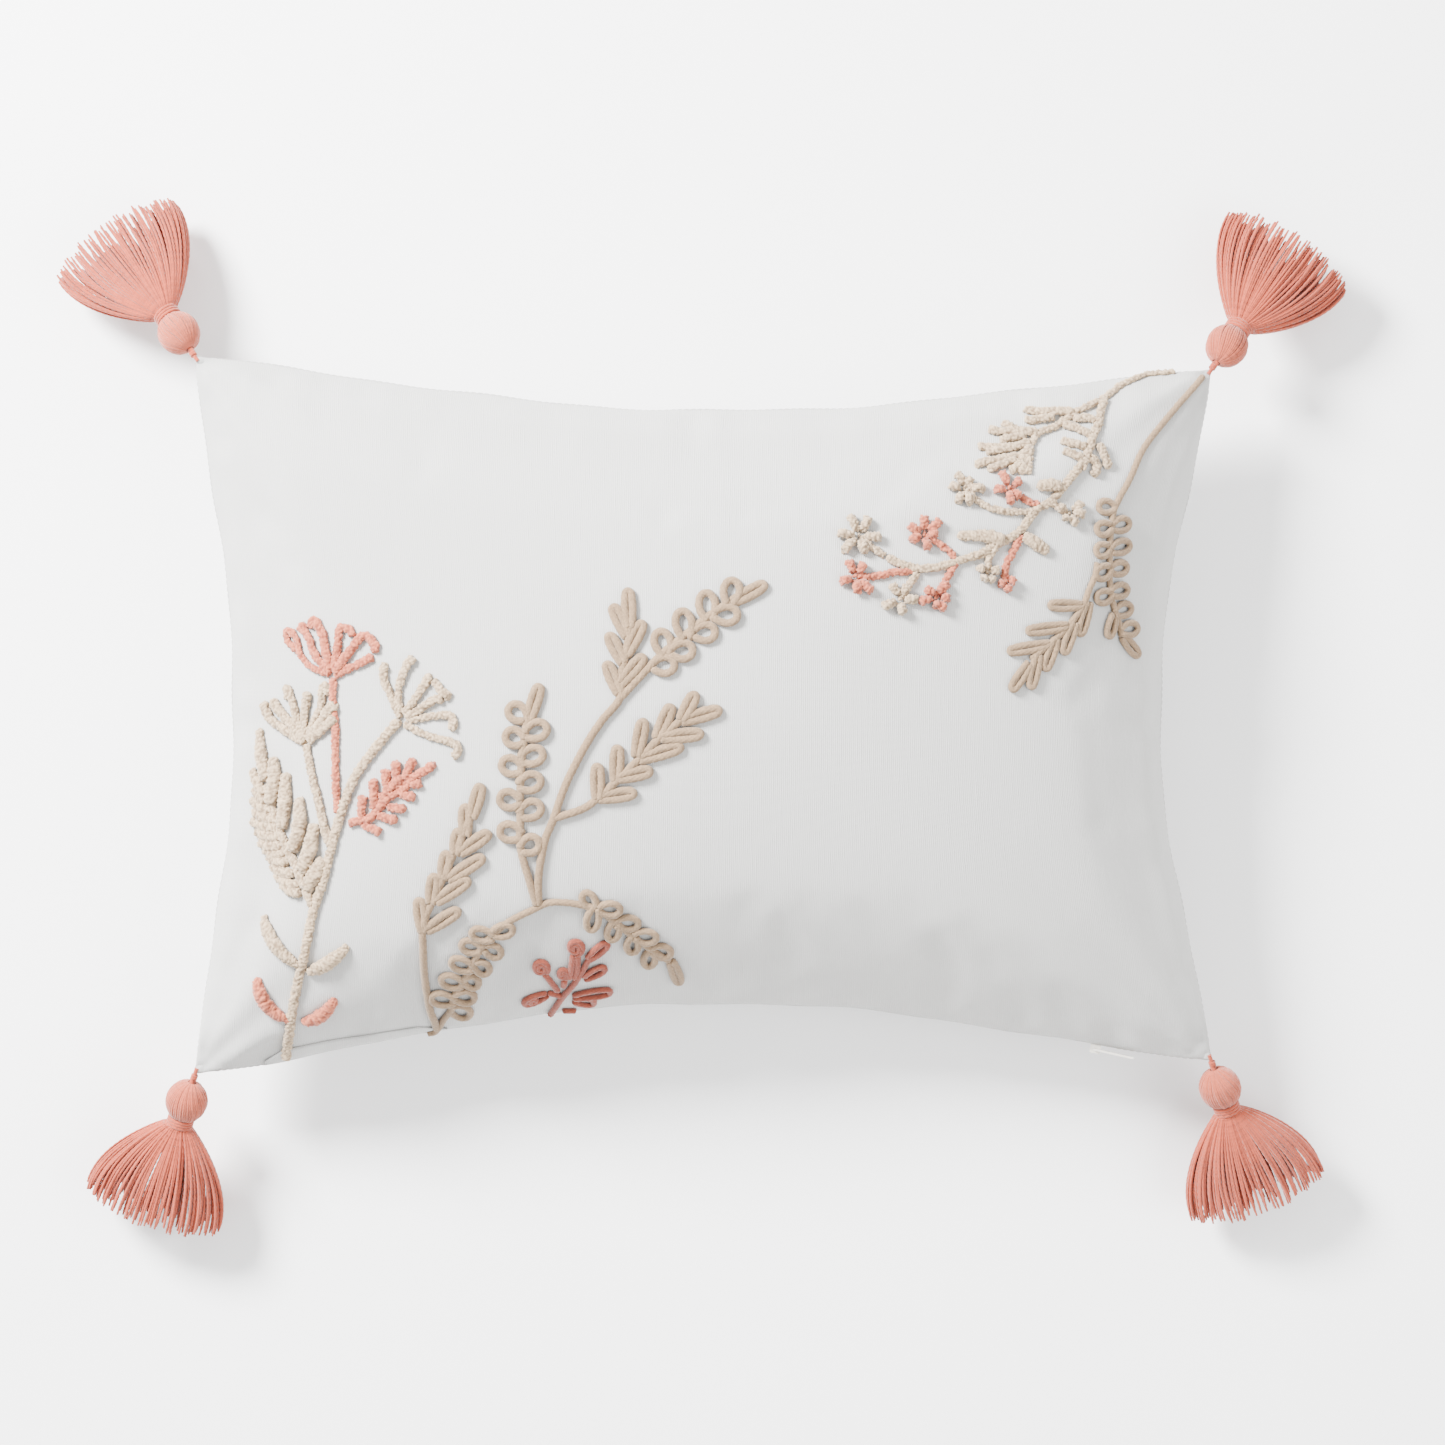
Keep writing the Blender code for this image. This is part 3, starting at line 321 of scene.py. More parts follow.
def spin(name, kind, guides, slot, seed=1):
    # guides: list of (points, facings, sizes, tone); one mesh of yarn comes back
    points, edges, facings, sizes, tones = [], [], [], [], []
    for line, facing, size, tone in guides:
        start = len(points)
        points += [tuple(p) for p in line]
        edges += [(start + n, start + n + 1) for n in range(len(line) - 1)]
        facings += [tuple(f) for f in facing]
        sizes += list(size)
        tones += [tone] * len(line)
    mesh = bpy.data.meshes.new(name)
    mesh.from_pydata(points, edges, [])
    mesh.attributes.new("facing", "FLOAT_VECTOR", "POINT").data.foreach_set("vector", np.ravel(facings))
    mesh.attributes.new("size", "FLOAT", "POINT").data.foreach_set("value", sizes)
    mesh.attributes.new("tone", "FLOAT", "POINT").data.foreach_set("value", tones)
    made = meshObject(name, mesh)
    maker = made.modifiers.new("yarn", "NODES")
    maker.node_group = yarnMaker
    wanted = {**yarnKinds[kind], "Seed": seed, "Finish": finishes[slot]}
    for item in yarnMaker.interface.items_tree:
        if item.in_out == "INPUT" and item.name in wanted:
            maker[item.identifier] = wanted[item.name]
    settle(made)
    return made


def joinPieces(name, pieces):
    with bpy.context.temp_override(active_object=pieces[0], selected_editable_objects=pieces,
                                   object=pieces[0], selected_objects=pieces):
        bpy.ops.object.join()
    pieces[0].name = name
    return pieces[0]


# the pillow

coverLow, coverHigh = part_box("cover_front_panel")
pillow = {
    "length": coverHigh.x - coverLow.x, "leftHeight": 353 * mm, "rightHeight": 340 * mm,
    "leftPull": 19 * mm, "rightPull": 25 * mm, "topPull": 23 * mm, "bottomPull": 31 * mm, "pullShape": 1.5,
    "seam": 44 * mm, "frontRise": coverHigh.z - 44 * mm - 0.15 * mm, "backDrop": 52 * mm,
    "cells": (84, 60), "seamGap": 0.25 * mm, "zipMouth": 0.9 * mm, "zipReach": 205 * mm,
    "clothThickness": 0.7 * mm, "frames": 20, "cap": 6 * mm, "slack": 0.94,
    "ease": 3.3 * mm, "leastEase": 1.7 * mm,  # from the insert to the cloth, before and after the folds
    "probe": 30 * mm, "rest": 0.35 * mm, "restBlend": 1.2 * mm,  # the back lies this close to the floor
}


def halfHeight(u):
    return (pillow["leftHeight"] * (1 - u) + pillow["rightHeight"] * (1 + u)) / 4


def pull(low, high, t):
    return ((high + low) / 2 + (high - low) / 2 * t) * t


def outlinePoint(u, v):
    across = np.maximum(0, 1 - v * v) ** pillow["pullShape"]
    along = np.maximum(0, 1 - u * u) ** pillow["pullShape"]
    x = pillow["length"] / 2 * u - pull(pillow["leftPull"], pillow["rightPull"], u) * across
    y = halfHeight(u) * v - pull(pillow["bottomPull"], pillow["topPull"], v) * along
    return x, y


def evenSteps(count, half, rise):
    # shares from -1 to 1 that are evenly spaced along the crown of the cloth
    angle = np.linspace(-math.pi / 2, math.pi / 2, 2001)
    run = np.hypot(half * np.cos(angle), rise * np.sin(angle))
    arc = np.concatenate([[0], np.cumsum((run[1:] + run[:-1]) / 2)])
    return np.sin(np.interp(np.linspace(0, arc[-1], count + 1), arc, angle)), arc[-1] * math.pi / 2000


def seamWave(x, y, u, v):
    # the seam is a little uneven, most of all along the middle of each side
    fromSide, fromEnd = (1 - np.abs(v)) * halfHeight(0), (1 - np.abs(u)) * pillow["length"] / 2
    across = np.sin(x / (19 * mm) + 0.7) + 0.6 * np.sin(x / (8.3 * mm) + 2.0)
    along = np.sin(y / (17 * mm) + 1.1) + 0.6 * np.sin(y / (7.9 * mm) + 0.4)
    fade = 0.55 * mm * np.exp(-fromSide / (16 * mm)) * (1 - u ** 6) * np.sign(v) * across
    slide = 0.55 * mm * np.exp(-fromEnd / (16 * mm)) * (1 - v ** 6) * np.sign(u) * along
    return x + slide, y + fade


def scatter(value):
    # a repeatable share between 0 and 1
    return float(np.modf(np.abs(np.sin(12.9898 * value) * 43758.5453))[0])


folds = {
    "edge": 1.5 * mm, "edgeReach": 13 * mm, "edgeStart": 2.5 * mm,  # puckers that run in from the seam
    "corner": 2.8 * mm, "cornerReach": 60 * mm, "cornerCount": 11,  # pleats that fan out of each corner
    "broad": 1.4 * mm, "broadStart": 30 * mm,  # slack across the middle
}


def ripple(u, v):
    # soft folds that run in from the seams and fade towards the middle
    x, y = outlinePoint(u, v)
    fromSide, fromEnd = (1 - np.abs(v)) * halfHeight(0), (1 - np.abs(u)) * pillow["length"] / 2
    fromSeam = np.minimum(fromSide, fromEnd)
    edgeFold = np.exp(-fromSeam / folds["edgeReach"]) * (1 - np.exp(-fromSeam / folds["edgeStart"]))
    run = np.where(fromSide < fromEnd, x, y)
    long = np.sin(run / (6.1 * mm) + 2.1 * np.sin(run / (41 * mm)))
    short = 0.7 * np.sin(run / (3.7 * mm) + 1.3 * np.sin(run / (23 * mm)))
    patch = 0.35 + 0.65 * np.sin(run / (57 * mm) + 1.7) ** 2
    spread = np.arctan2(fromSide, fromEnd)
    cornerFold = np.exp(-np.hypot(fromSide, fromEnd) / folds["cornerReach"]) * np.sin(
        spread * folds["cornerCount"] + 3 * u) * np.sin(np.clip(2 * spread, 0, math.pi))
    broad = np.sin(x / (47 * mm) + 1.9) * np.sin(y / (39 * mm) + 0.6) + 0.6 * np.sin((x + y) / (31 * mm))
    middle = (1 - u ** 6) * (1 - v ** 6) * np.minimum(1, fromSeam / folds["broadStart"])
    return (folds["edge"] * edgeFold * (long + short) * patch + folds["corner"] * cornerFold
            + folds["broad"] * broad * middle)


def panelGrid(side):
    # grid of one panel, front (1) or back (-1)
    columns, rows = pillow["cells"]
    rise = pillow["frontRise"] if side > 0 else pillow["backDrop"]
    us, width = evenSteps(columns, pillow["length"] / 2, pillow["frontRise"])
    vs, height = evenSteps(rows, halfHeight(0), pillow["frontRise"])
    u, v = np.meshgrid(us, vs)
    x, y = seamWave(*outlinePoint(u, v), u, v)
    crown = np.sqrt(np.maximum(0, 1 - u * u)) * np.sqrt(np.maximum(0, 1 - v * v))
    atSeam = (np.abs(u) > 0.999999) | (np.abs(v) > 0.999999)
    crown = np.where(atSeam, 0, crown)
    atZip = (v < -0.999999) & (np.abs(x) < pillow["zipReach"])
    gap = np.where(atZip, pillow["zipMouth"], pillow["seamGap"] / 2)
    gap = gap * np.where(atSeam, 1, 0) + np.where(atSeam, 0, pillow["seamGap"] / 2)
    z = pillow["seam"] + side * (gap + pillow["slack"] * rise * crown)
    return np.stack([x, y, z], -1).reshape(-1, 3), u.ravel(), v.ravel(), atSeam.ravel(), (width, height)


def panelFaces(side):
    columns, rows = pillow["cells"]
    a = (np.arange(rows)[:, None] * (columns + 1) + np.arange(columns)[None, :]).ravel()
    faces = np.stack([a, a + 1, a + columns + 2, a + columns + 1], -1)
    return faces if side > 0 else faces[:, ::-1]


fabric = {
    "quality": 6, "mass": 0.25, "tension_stiffness": 18, "compression_stiffness": 12, "shear_stiffness": 6,
    "bending_stiffness": 0.8, "vertex_group_mass": "seam", "use_pressure": True,
    "uniform_pressure_force": 4.0, "shrink_min": -0.012,
}


def inflate(piece, seamPoints):
    # the panel is sewn down at the seam and blown out by its filling
    pinned = piece.vertex_groups.new(name="seam")
    pinned.add([int(n) for n in seamPoints], 1.0, "REPLACE")
    modifier = piece.modifiers.new("cloth", "CLOTH")
    for key, value in fabric.items():
        setattr(modifier.settings, key, value)
    modifier.settings.effector_weights.gravity = 0
    modifier.collision_settings.use_self_collision = False
    modifier.point_cache.frame_start = 1
    modifier.point_cache.frame_end = pillow["frames"]
    for step in range(1, pillow["frames"] + 1):
        bpy.context.scene.frame_set(step)
    settle(piece)
    bpy.context.scene.frame_set(1)


def pointsOf(mesh):
    flat = np.empty(len(mesh.vertices) * 3, np.float32)
    mesh.vertices.foreach_get("co", flat)
    return flat.reshape(-1, 3).astype(float)


def keepOutside(points, outward, surface, clearance):
    # the cloth lies on the insert, so no part of it sinks nearer to it than this
    for n, (place, facing) in enumerate(zip(points, outward)):
        facing = Vector(facing)
        start = Vector(place) + facing * pillow["probe"]
        hit, _, _, _ = surface.ray_cast(start, -facing, 2 * pillow["probe"])
        if hit is not None:
            points[n] = np.array(facing) * max(0, clearance - (Vector(place) - hit).dot(facing)) + place
    return points


def normalsOf(mesh):
    return np.array([tuple(vertex.normal) for vertex in mesh.vertices])


def sewPanel(name, side, insert):
    points, u, v, atSeam, (width, height) = panelGrid(side)
    mesh = bpy.data.meshes.new(name)
    mesh.from_pydata([tuple(p) for p in points], [], [tuple(int(i) for i in f) for f in panelFaces(side)])
    piece = meshObject(name, mesh)
    inflate(piece, np.flatnonzero(atSeam))
    moved = pointsOf(piece.data) - points
    reach = np.linalg.norm(moved, axis=1, keepdims=True)
    moved *= np.minimum(1, pillow["cap"] / np.maximum(reach, 1e-9))
    print(name, "cloth moved by up to", round(float(reach.max()) / mm, 1), "mm")
    laid = points + moved
    crownTop = laid[:, 2].max() if side > 0 else laid[:, 2].min()
    span = (crownTop - pillow["seam"]) * side
    wanted = pillow["frontRise"] if side > 0 else pillow["backDrop"]
    laid[:, 2] = pillow["seam"] + (laid[:, 2] - pillow["seam"]) * np.where(atSeam, 1, wanted / span)
    surface = surfaceOf(frame["nodes"][insert].data)
    outward = normalsOf(piece.data)
    laid = keepOutside(laid, outward, surface, pillow["ease"])
    laid += outward * (ripple(u, v) * np.where(atSeam, 0, 1))[:, None]
    laid = keepOutside(laid, outward, surface, pillow["leastEase"])
    if side < 0:  # the weight of the pillow flattens the back where it lies
        above, blend = laid[:, 2] - pillow["rest"], pillow["restBlend"]
        laid[:, 2] = pillow["rest"] + np.maximum(0, (above + np.sqrt(above * above + blend ** 2) - blend) / 2)
    mesh = piece.data
    mesh.vertices.foreach_set("co", laid.astype(np.float32).ravel())
    cloth = mesh.uv_layers.new(name="cloth")
    columns, rows = pillow["cells"]
    index = np.empty(len(mesh.loops), np.int32)
    mesh.loops.foreach_get("vertex_index", index)
    column, row = index % (columns + 1), index // (columns + 1)
    places = np.stack([column / columns * width, row / rows * height], -1)
    cloth.data.foreach_set("uv", places.astype(np.float32).ravel())
    smooth = piece.modifiers.new("smooth", "SUBSURF")
    smooth.levels = smooth.render_levels = 1
    smooth.uv_smooth = "PRESERVE_BOUNDARIES"
    smooth.boundary_smooth = "PRESERVE_CORNERS"
    return settle(piece, smooth=True)


frontCloth = sewPanel("cover_front_cloth", 1, "insert_front_panel")
backCloth = sewPanel("cover_back_cloth", -1, "insert_back_panel")
frontSurface = surfaceOf(frontCloth.data)


# the lap over the zip shows as a narrow fold at the left of the lower edge

zipLap = {"from": -216 * mm, "to": -126 * mm, "wide": 6.6 * mm, "narrow": 3.0 * mm, "thickness": 0.8 * mm,
          "stations": 48, "rise": (0.2, 0.9, 1.1, 1.0, 0.5)}


def lowerEdge(count=801):
    u = np.linspace(-1, 1, count)
    return seamWave(*outlinePoint(u, -np.ones(count)), u, -np.ones(count))


def foldLap():
    edgeX, edgeY = lowerEdge()
    across = len(zipLap["rise"])
    points, places = [], []
    for x in np.linspace(zipLap["from"], zipLap["to"], zipLap["stations"]):
        share = (x - zipLap["from"]) / (zipLap["to"] - zipLap["from"])
        width = zipLap["wide"] * (1 - share) + zipLap["narrow"] * share
        width *= min(1, 0.35 + 6 * share) * min(1, 0.2 + 5 * (1 - share))
        y = float(np.interp(x, edgeX, edgeY))
        for k, rise in enumerate(zipLap["rise"]):
            inward = width * k / (across - 1)
            spot, _, _, _ = frontSurface.ray_cast(Vector((x, y + inward + 0.4 * mm, 0.3)), Vector((0, 0, -1)))
            height = (spot.z if spot else pillow["seam"]) + rise * mm
            points.append((x, y + inward - 0.3 * mm, height if k else pillow["seam"] + 1.7 * mm))
            places.append((x, inward))
    faces = [(n * across + k, (n + 1) * across + k, (n + 1) * across + k + 1, n * across + k + 1)
             for n in range(zipLap["stations"] - 1) for k in range(across - 1)]
    mesh = bpy.data.meshes.new("zip_lap")
    mesh.from_pydata(points, [], faces)
    cloth = mesh.uv_layers.new(name="cloth")
    for loop in mesh.loops:
        cloth.data[loop.index].uv = places[loop.vertex_index]
    return thicken(meshObject("zip_lap", mesh), zipLap["thickness"])


for piece in (frontCloth, backCloth):
    thicken(piece, pillow["clothThickness"])
frontCloth = joinPieces("cover_front_cloth", [frontCloth, foldLap()])
for piece, node in ((frontCloth, "cover_front_panel"), (backCloth, "cover_back_panel")):
    piece.data.materials.clear()
    piece.data.materials.append(finishes["slub_cotton"])
    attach(piece, "pillow")
    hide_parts(node)


# lockstitch round the seam, left out along the zip

stitches = {"length": 2.6 * mm, "pitch": 3.3 * mm, "thread": 0.24 * mm, "gauge": 400, "fromCorner": 9 * mm}


def sewSeam():
    t = np.linspace(-1, 1, stitches["gauge"])
    one = np.ones(len(t))
    sides = [seamWave(*outlinePoint(u, v), u, v) for u, v in ((t, -one), (one, t), (-t, one), (-one, -t))]
    line = np.vstack([np.stack(side, -1) for side in sides])
    arc = lengthAlong(line)
    turns = line[::stitches["gauge"]]
    guides = []
    for start in np.arange(0, arc[-1] - stitches["length"], stitches["pitch"]):
        run = start + stitches["length"] * np.array([0, 0.5, 1])
        x, y = np.interp(run, arc, line[:, 0]), np.interp(run, arc, line[:, 1])
        fromCorner = np.hypot(*(turns - (x[1], y[1])).T).min()
        if fromCorner < stitches["fromCorner"] or y[1] < 0 and abs(x[1]) < pillow["zipReach"]:
            continue
        rise = np.array([0, 0.3, 0])[:, None] * mm
        along = np.array([x[2] - x[0], y[2] - y[0], 0])
        outward = np.array([along[1], -along[0], 0]) / np.linalg.norm(along)
        points = np.stack([x, y, pillow["seam"] + 0 * x], -1) + outward * (rise - 0.15 * mm)
        guides.append((points, np.tile([0, 0, 1.0], (3, 1)), [stitches["thread"]] * 3, 0.0))
    thread = spin("seam_stitches", "thread", guides, "slub_cotton")
    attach(thread, "pillow")


sewSeam()
print("pillow sewn and filled")


# embroidery: routes in millimetres from the middle of the front, drawn on the plane of the seam
# as it looks from above the pillow

eyePlace = Vector((9.6 * mm, -3.7 * mm, pillow["seam"] + 2.377))


def onFront(x, y):
    # the point of the front behind (x, y), and which way the cloth faces there
    for _ in range(40):
        ahead = (Vector((x, y, pillow["seam"])) - eyePlace).normalized()
        place, normal, _, _ = frontSurface.ray_cast(eyePlace, ahead)
        if place is not None:
            return place, normal
        x, y = 0.997 * x, 0.997 * y
    return Vector((x, y, pillow["seam"])), Vector((0, 0, 1))


def smoothLine(points, step):
    # evenly spaced points on a smooth curve through the given ones
    given = np.array(points, float)
    if len(given) == 2:
        dense = given[0] + (given[1] - given[0]) * np.linspace(0, 1, 20)[:, None]
    else:
        ends = np.vstack([2 * given[0] - given[1], given, 2 * given[-1] - given[-2]])
        runs = []
        for n in range(1, len(ends) - 2):
            t = np.linspace(0, 1, 16, endpoint=n == len(ends) - 3)[:, None]
            before, a, b, after = ends[n - 1:n + 3]
            runs.append(0.5 * (2 * a + (b - before) * t + (2 * before - 5 * a + 4 * b - after) * t * t
                               + (3 * a - before - 3 * b + after) * t ** 3))
        dense = np.vstack(runs)
    arc = lengthAlong(dense)
    count = max(4, int(arc[-1] / step) + 1)
    even = np.linspace(0, arc[-1], count)
    return np.stack([np.interp(even, arc, dense[:, k]) for k in range(given.shape[1])], -1), even


def averaged(rows, passes=3):
    for _ in range(passes):
        padded = np.vstack([rows[:1], rows, rows[-1:]])
        rows = (padded[:-2] + 2 * padded[1:-1] + padded[2:]) / 4
    return rows


yarnLay = {"step": 0.7, "cord": 0.8, "pile": 0.75, "petal": 0.95, "sink": 0.72, "leastEnd": 0.2}


def stroke(route, width, flatness=yarnLay["cord"], lift=0.0, swell=None, tone=0.0, hump=0.0):
    # a yarn laid on the front: width and lift in mm, swell is a list of width shares along it
    line, arc = smoothLine(route, yarnLay["step"])
    half = np.full(len(line), width / 2)
    if swell:
        half *= np.interp(arc / arc[-1], np.linspace(0, 1, len(swell)), swell)
    cap = np.clip(np.minimum(arc, arc[-1] - arc) / (0.8 * half), 0, 1)  # rounded ends
    half = half * np.maximum(yarnLay["leastEnd"], np.sqrt(1 - (1 - cap) ** 2))
    places, facings = zip(*(onFront(x * mm, y * mm) for x, y in line))
    facings = averaged(np.array([tuple(f) for f in facings]))
    facings /= np.linalg.norm(facings, axis=1, keepdims=True)
    bow = hump * np.sin(np.linspace(0, math.pi, len(line)))
    height = (half * flatness * yarnLay["sink"] + lift + bow) * mm
    points = averaged(np.array([tuple(p) for p in places]), 2) + facings * height[:, None]
    return points, facings, half * mm, tone


def loopRoute(base, tip, outer, width, squareness):
    # a yarn that leaves the stem, turns at the tip and comes back beside itself
    base, tip = np.array(base, float), np.array(tip, float)
    ahead = tip - base
    length = np.linalg.norm(ahead)
    ahead /= length
    side = np.array([-ahead[1], ahead[0]])
    length -= width / 2
    t = np.linspace(0, 1, 25)
    out = (1 - np.cos(2 * math.pi * t)) / 2
    wide = np.sign(np.sin(2 * math.pi * t)) * np.abs(np.sin(2 * math.pi * t)) ** squareness
    wide *= (outer - width) / 2 * np.minimum(1, 0.7 + 0.5 * out)
    return base + ahead * (out * length)[:, None] + side * wide[:, None]


def coilRoute(centre, radius, start):
    # a yarn wound up into a flat coil, from its rim inwards
    turn = np.linspace(0, 4.4 * math.pi, 40)
    reach = radius * (1 - 0.8 * turn / turn[-1])
    angle = math.radians(start) + turn
    return np.array(centre, float) + np.stack([reach * np.cos(angle), reach * np.sin(angle)], -1)


def sewOn(name, kind, lines, slot, seed, suffix):
    piece = spin(name + suffix, kind, lines, slot, seed)
    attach(piece, "pillow")
    if name in frame["nodes"]:
        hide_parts(name)


def cordMotif(name, slot, width, stems, leaves=(), rings=(), leafWidth=8.0, ringWidth=12.4):
    lines = [stroke(route, width, lift=0.1, tone=scatter(n + 1.0)) for n, route in enumerate(stems)]
    for n, (base, tip) in enumerate(leaves):
        route = loopRoute(base, tip, leafWidth, width, 0.5)
        lines.append(stroke(route, width, lift=0.3 * (n % 2) + 0.15, tone=scatter(n + 3.0)))
    for n, (base, tip) in enumerate(rings):
        route = loopRoute(base, tip, ringWidth, width, 0.85)
        lines.append(stroke(route, width, lift=0.4 * (n % 2) + 0.25, tone=scatter(n + 5.0)))
    sewOn(name, "cord", lines, slot, len(lines), "_cord")


def pileMotif(name, slot, strokes):
    lines = [stroke(route, width, yarnLay["pile"], tone=scatter(n + 2.0), swell=swell, lift=0.15 * (n % 3))
             for n, (route, width, swell) in enumerate(strokes)]
    sewOn(name, "pile", lines, slot, len(strokes), "_pile")


flower = {"stalk": 3.8, "petal": 4.4, "petalLift": 0.5, "petalHump": 0.9, "eye": 1.9, "eyeLift": 1.5}


def flowerMotif(name, slot, stalk, centre, tips):
    # raised petals of looped pile round a sunken eye
    middle = np.array(centre, float)
    lines = [stroke([*stalk, centre], flower["stalk"], yarnLay["pile"])]
    for k, tip in enumerate(tips):
        ahead = np.array(tip, float) - middle
        side = np.array([-ahead[1], ahead[0]]) / np.linalg.norm(ahead)
        bend = side * (scatter(k + 0.3 * middle[0]) - 0.5) * 1.6
        route = [middle + 0.16 * ahead, middle + 0.6 * ahead + bend, middle + ahead * 1.04]
        lines.append(stroke(route, flower["petal"], yarnLay["petal"], lift=flower["petalLift"] + 0.4 * (k % 2),
                            hump=flower["petalHump"], swell=[0.8, 1.08, 1.12], tone=scatter(k + 1.0)))
    eye = [middle + 0.9 * np.array([math.cos(a), math.sin(a)]) for a in np.linspace(0, 5.4, 7)]
    lines.append(stroke(eye, flower["eye"], 0.9, lift=flower["eyeLift"], tone=1.6))
    sewOn(name, "petal", lines, slot, 44 + len(tips), "_pile")


fullTip, taperTip, crescent = [0.9, 1.0, 1.2], [0.95, 1.1, 0.75], [0.55, 1.05, 1.15, 0.95, 0.5]


def sewMeadow():
    pileMotif("meadow_stems", "natural_pile_yarn", [
        ([(-149, -2), (-156, -10), (-164, -20), (-172, -32), (-178, -48), (-182, -62), (-187, -82), (-192, -97),
          (-196, -116), (-199, -128), (-202, -143), (-204, -156), (-206, -170)], 4.9, None),
        ([(-195, -14), (-193, -26), (-189, -43), (-186, -57), (-183, -66)], 4.6, None),
        ([(-216, -98), (-213, -108), (-207, -117), (-198, -124)], 6.6, crescent),
        ([(-196, -127), (-189, -124), (-181, -119), (-175, -113)], 6.6, crescent),
        # the umbel on the right
        ([(-149, -2), (-153, 8), (-157, 17), (-157, 23), (-155, 25)], 4.2, fullTip),
        ([(-149, 0), (-150, 11), (-147, 22), (-142, 29)], 4.2, fullTip),
        ([(-148, 0), (-141, 9), (-135, 18), (-133, 19)], 4.2, fullTip),
        ([(-133, 18), (-129, 12), (-124, 8)], 4.6, fullTip),
        ([(-147, -2), (-139, 3), (-133, 7), (-127, 8)], 4.2, fullTip),
        ([(-146, -3), (-135, -1), (-125, 0), (-123, -4), (-124, -8)], 3.9, fullTip),
        ([(-148, -4), (-136, -10), (-125, -13), (-121, -15), (-121, -19), (-124, -21)], 3.9, fullTip),
        # the umbel on the left, closely filled at its foot
        ([(-195, -14), (-206, -7), (-213, -1), (-216, 7)], 5.0, fullTip),
        ([(-195, -13), (-201, -6), (-208, 2), (-212, 8)], 5.0, fullTip),
        ([(-195, -13), (-199, -5), (-201, 3), (-203, 10), (-205, 14), (-204, 7)], 4.4, None),
        ([(-195, -13), (-196, -2), (-195, 6), (-194, 12)], 4.4, fullTip),
        ([(-195, -13), (-192, -5), (-188, 4), (-187, 14), (-185, 14), (-185, 9)], 4.4, None),
        ([(-194, -13), (-188, -5), (-184, 2), (-180, 6)], 5.4, fullTip),
        ([(-194, -14), (-186, -6), (-180, -1)], 5.0, fullTip),
        ([(-195, -13), (-199, -9), (-203, -4)], 5.6, None),
        ([(-194, -13), (-190, -7), (-187, -2)], 5.6, None),
    ])
    pileMotif("meadow_coral_umbel", "coral_pile_yarn", [
        ([(-182, 19), (-182, 8), (-181, -6), (-181, -27), (-180, -49)], 4.2, None),
        ([(-183, 20), (-193, 24), (-198, 30), (-200, 38), (-204, 42), (-205, 39), (-203, 35), (-199, 32)],
         3.9, None),
        ([(-183, 20), (-191, 30), (-193, 36), (-196, 42), (-197, 45), (-198, 40)], 4.4, None),
        ([(-183, 21), (-186, 32), (-187, 39), (-190, 45), (-192, 47), (-193, 42)], 4.8, None),
        ([(-182, 21), (-180, 33), (-179, 42), (-176, 43), (-173, 41), (-173, 38)], 4.4, None),
        ([(-182, 20), (-175, 30), (-167, 39), (-162, 35), (-161, 30)], 4.8, None),
        ([(-182, 19), (-170, 25), (-162, 29)], 4.2, fullTip),
    ])
    pileMotif("meadow_coral_fern", "coral_pile_yarn", [
        ([(-175, -54), (-170, -52), (-164, -51), (-159, -45), (-154, -40), (-148, -37), (-143, -31),
          (-136, -27), (-132, -23)], 4.6, None),
        *[(route, 4.8, fullTip) for route in (
            [(-168, -51), (-168, -45), (-167, -39)], [(-162, -47), (-162, -40), (-162, -31)],
            [(-155, -40), (-156, -33), (-156, -26)], [(-150, -37), (-151, -29), (-151, -22)],
            [(-147, -33), (-145, -27), (-142, -21)], [(-168, -53), (-163, -56), (-158, -58)],
            [(-161, -49), (-155, -51), (-150, -52)], [(-156, -45), (-151, -46), (-146, -46)],
            [(-150, -38), (-145, -40), (-141, -40)], [(-145, -34), (-141, -34), (-138, -33)],
            [(-159, -42), (-152, -34), (-147, -31)])],
    ])
    pileMotif("meadow_serrated_leaf", "natural_pile_yarn", [
        ([(-192, -95), (-194, -90), (-197, -82), (-201, -73), (-206, -62), (-210, -51), (-213, -42),
          (-215, -34)], 4.8, None),
        ([(-214, -33), (-217, -19), (-218, -6)], 6.4, [1.1, 1.1, 0.6]),
        *[(route, 5.4, taperTip) for route in (
            [(-215, -40), (-219, -33), (-222, -26)], [(-214, -44), (-218, -40), (-222, -36)],
            [(-212, -48), (-218, -45), (-223, -41)], [(-210, -52), (-217, -50), (-222, -47)],
            [(-208, -56), (-216, -55), (-223, -52)], [(-207, -60), (-214, -60), (-221, -57)],
            [(-206, -64), (-213, -65), (-219, -62)], [(-204, -67), (-210, -69), (-217, -66)],
            [(-203, -71), (-208, -73), (-215, -69)], [(-200, -78), (-206, -78), (-213, -74)],
            [(-198, -84), (-205, -83), (-211, -78)], [(-197, -88), (-202, -87), (-208, -83)])],
        *[(route, 7.4, taperTip) for route in (
            [(-213, -45), (-210, -33), (-211, -20)], [(-207, -57), (-205, -43), (-205, -28)],
            [(-202, -68), (-198, -55), (-198, -40)], [(-198, -78), (-193, -67), (-191, -53)],
            [(-196, -87), (-191, -79), (-187, -70)])],
    ])
    pileMotif("meadow_coral_leaf_left", "coral_pile_yarn", [
        ([(-220, -129), (-217, -139), (-211, -146), (-203, -151)], 6.8, crescent)])
    pileMotif("meadow_coral_leaf_right", "coral_pile_yarn", [
        ([(-199, -151), (-192, -149), (-186, -145), (-181, -139)], 6.8, crescent)])


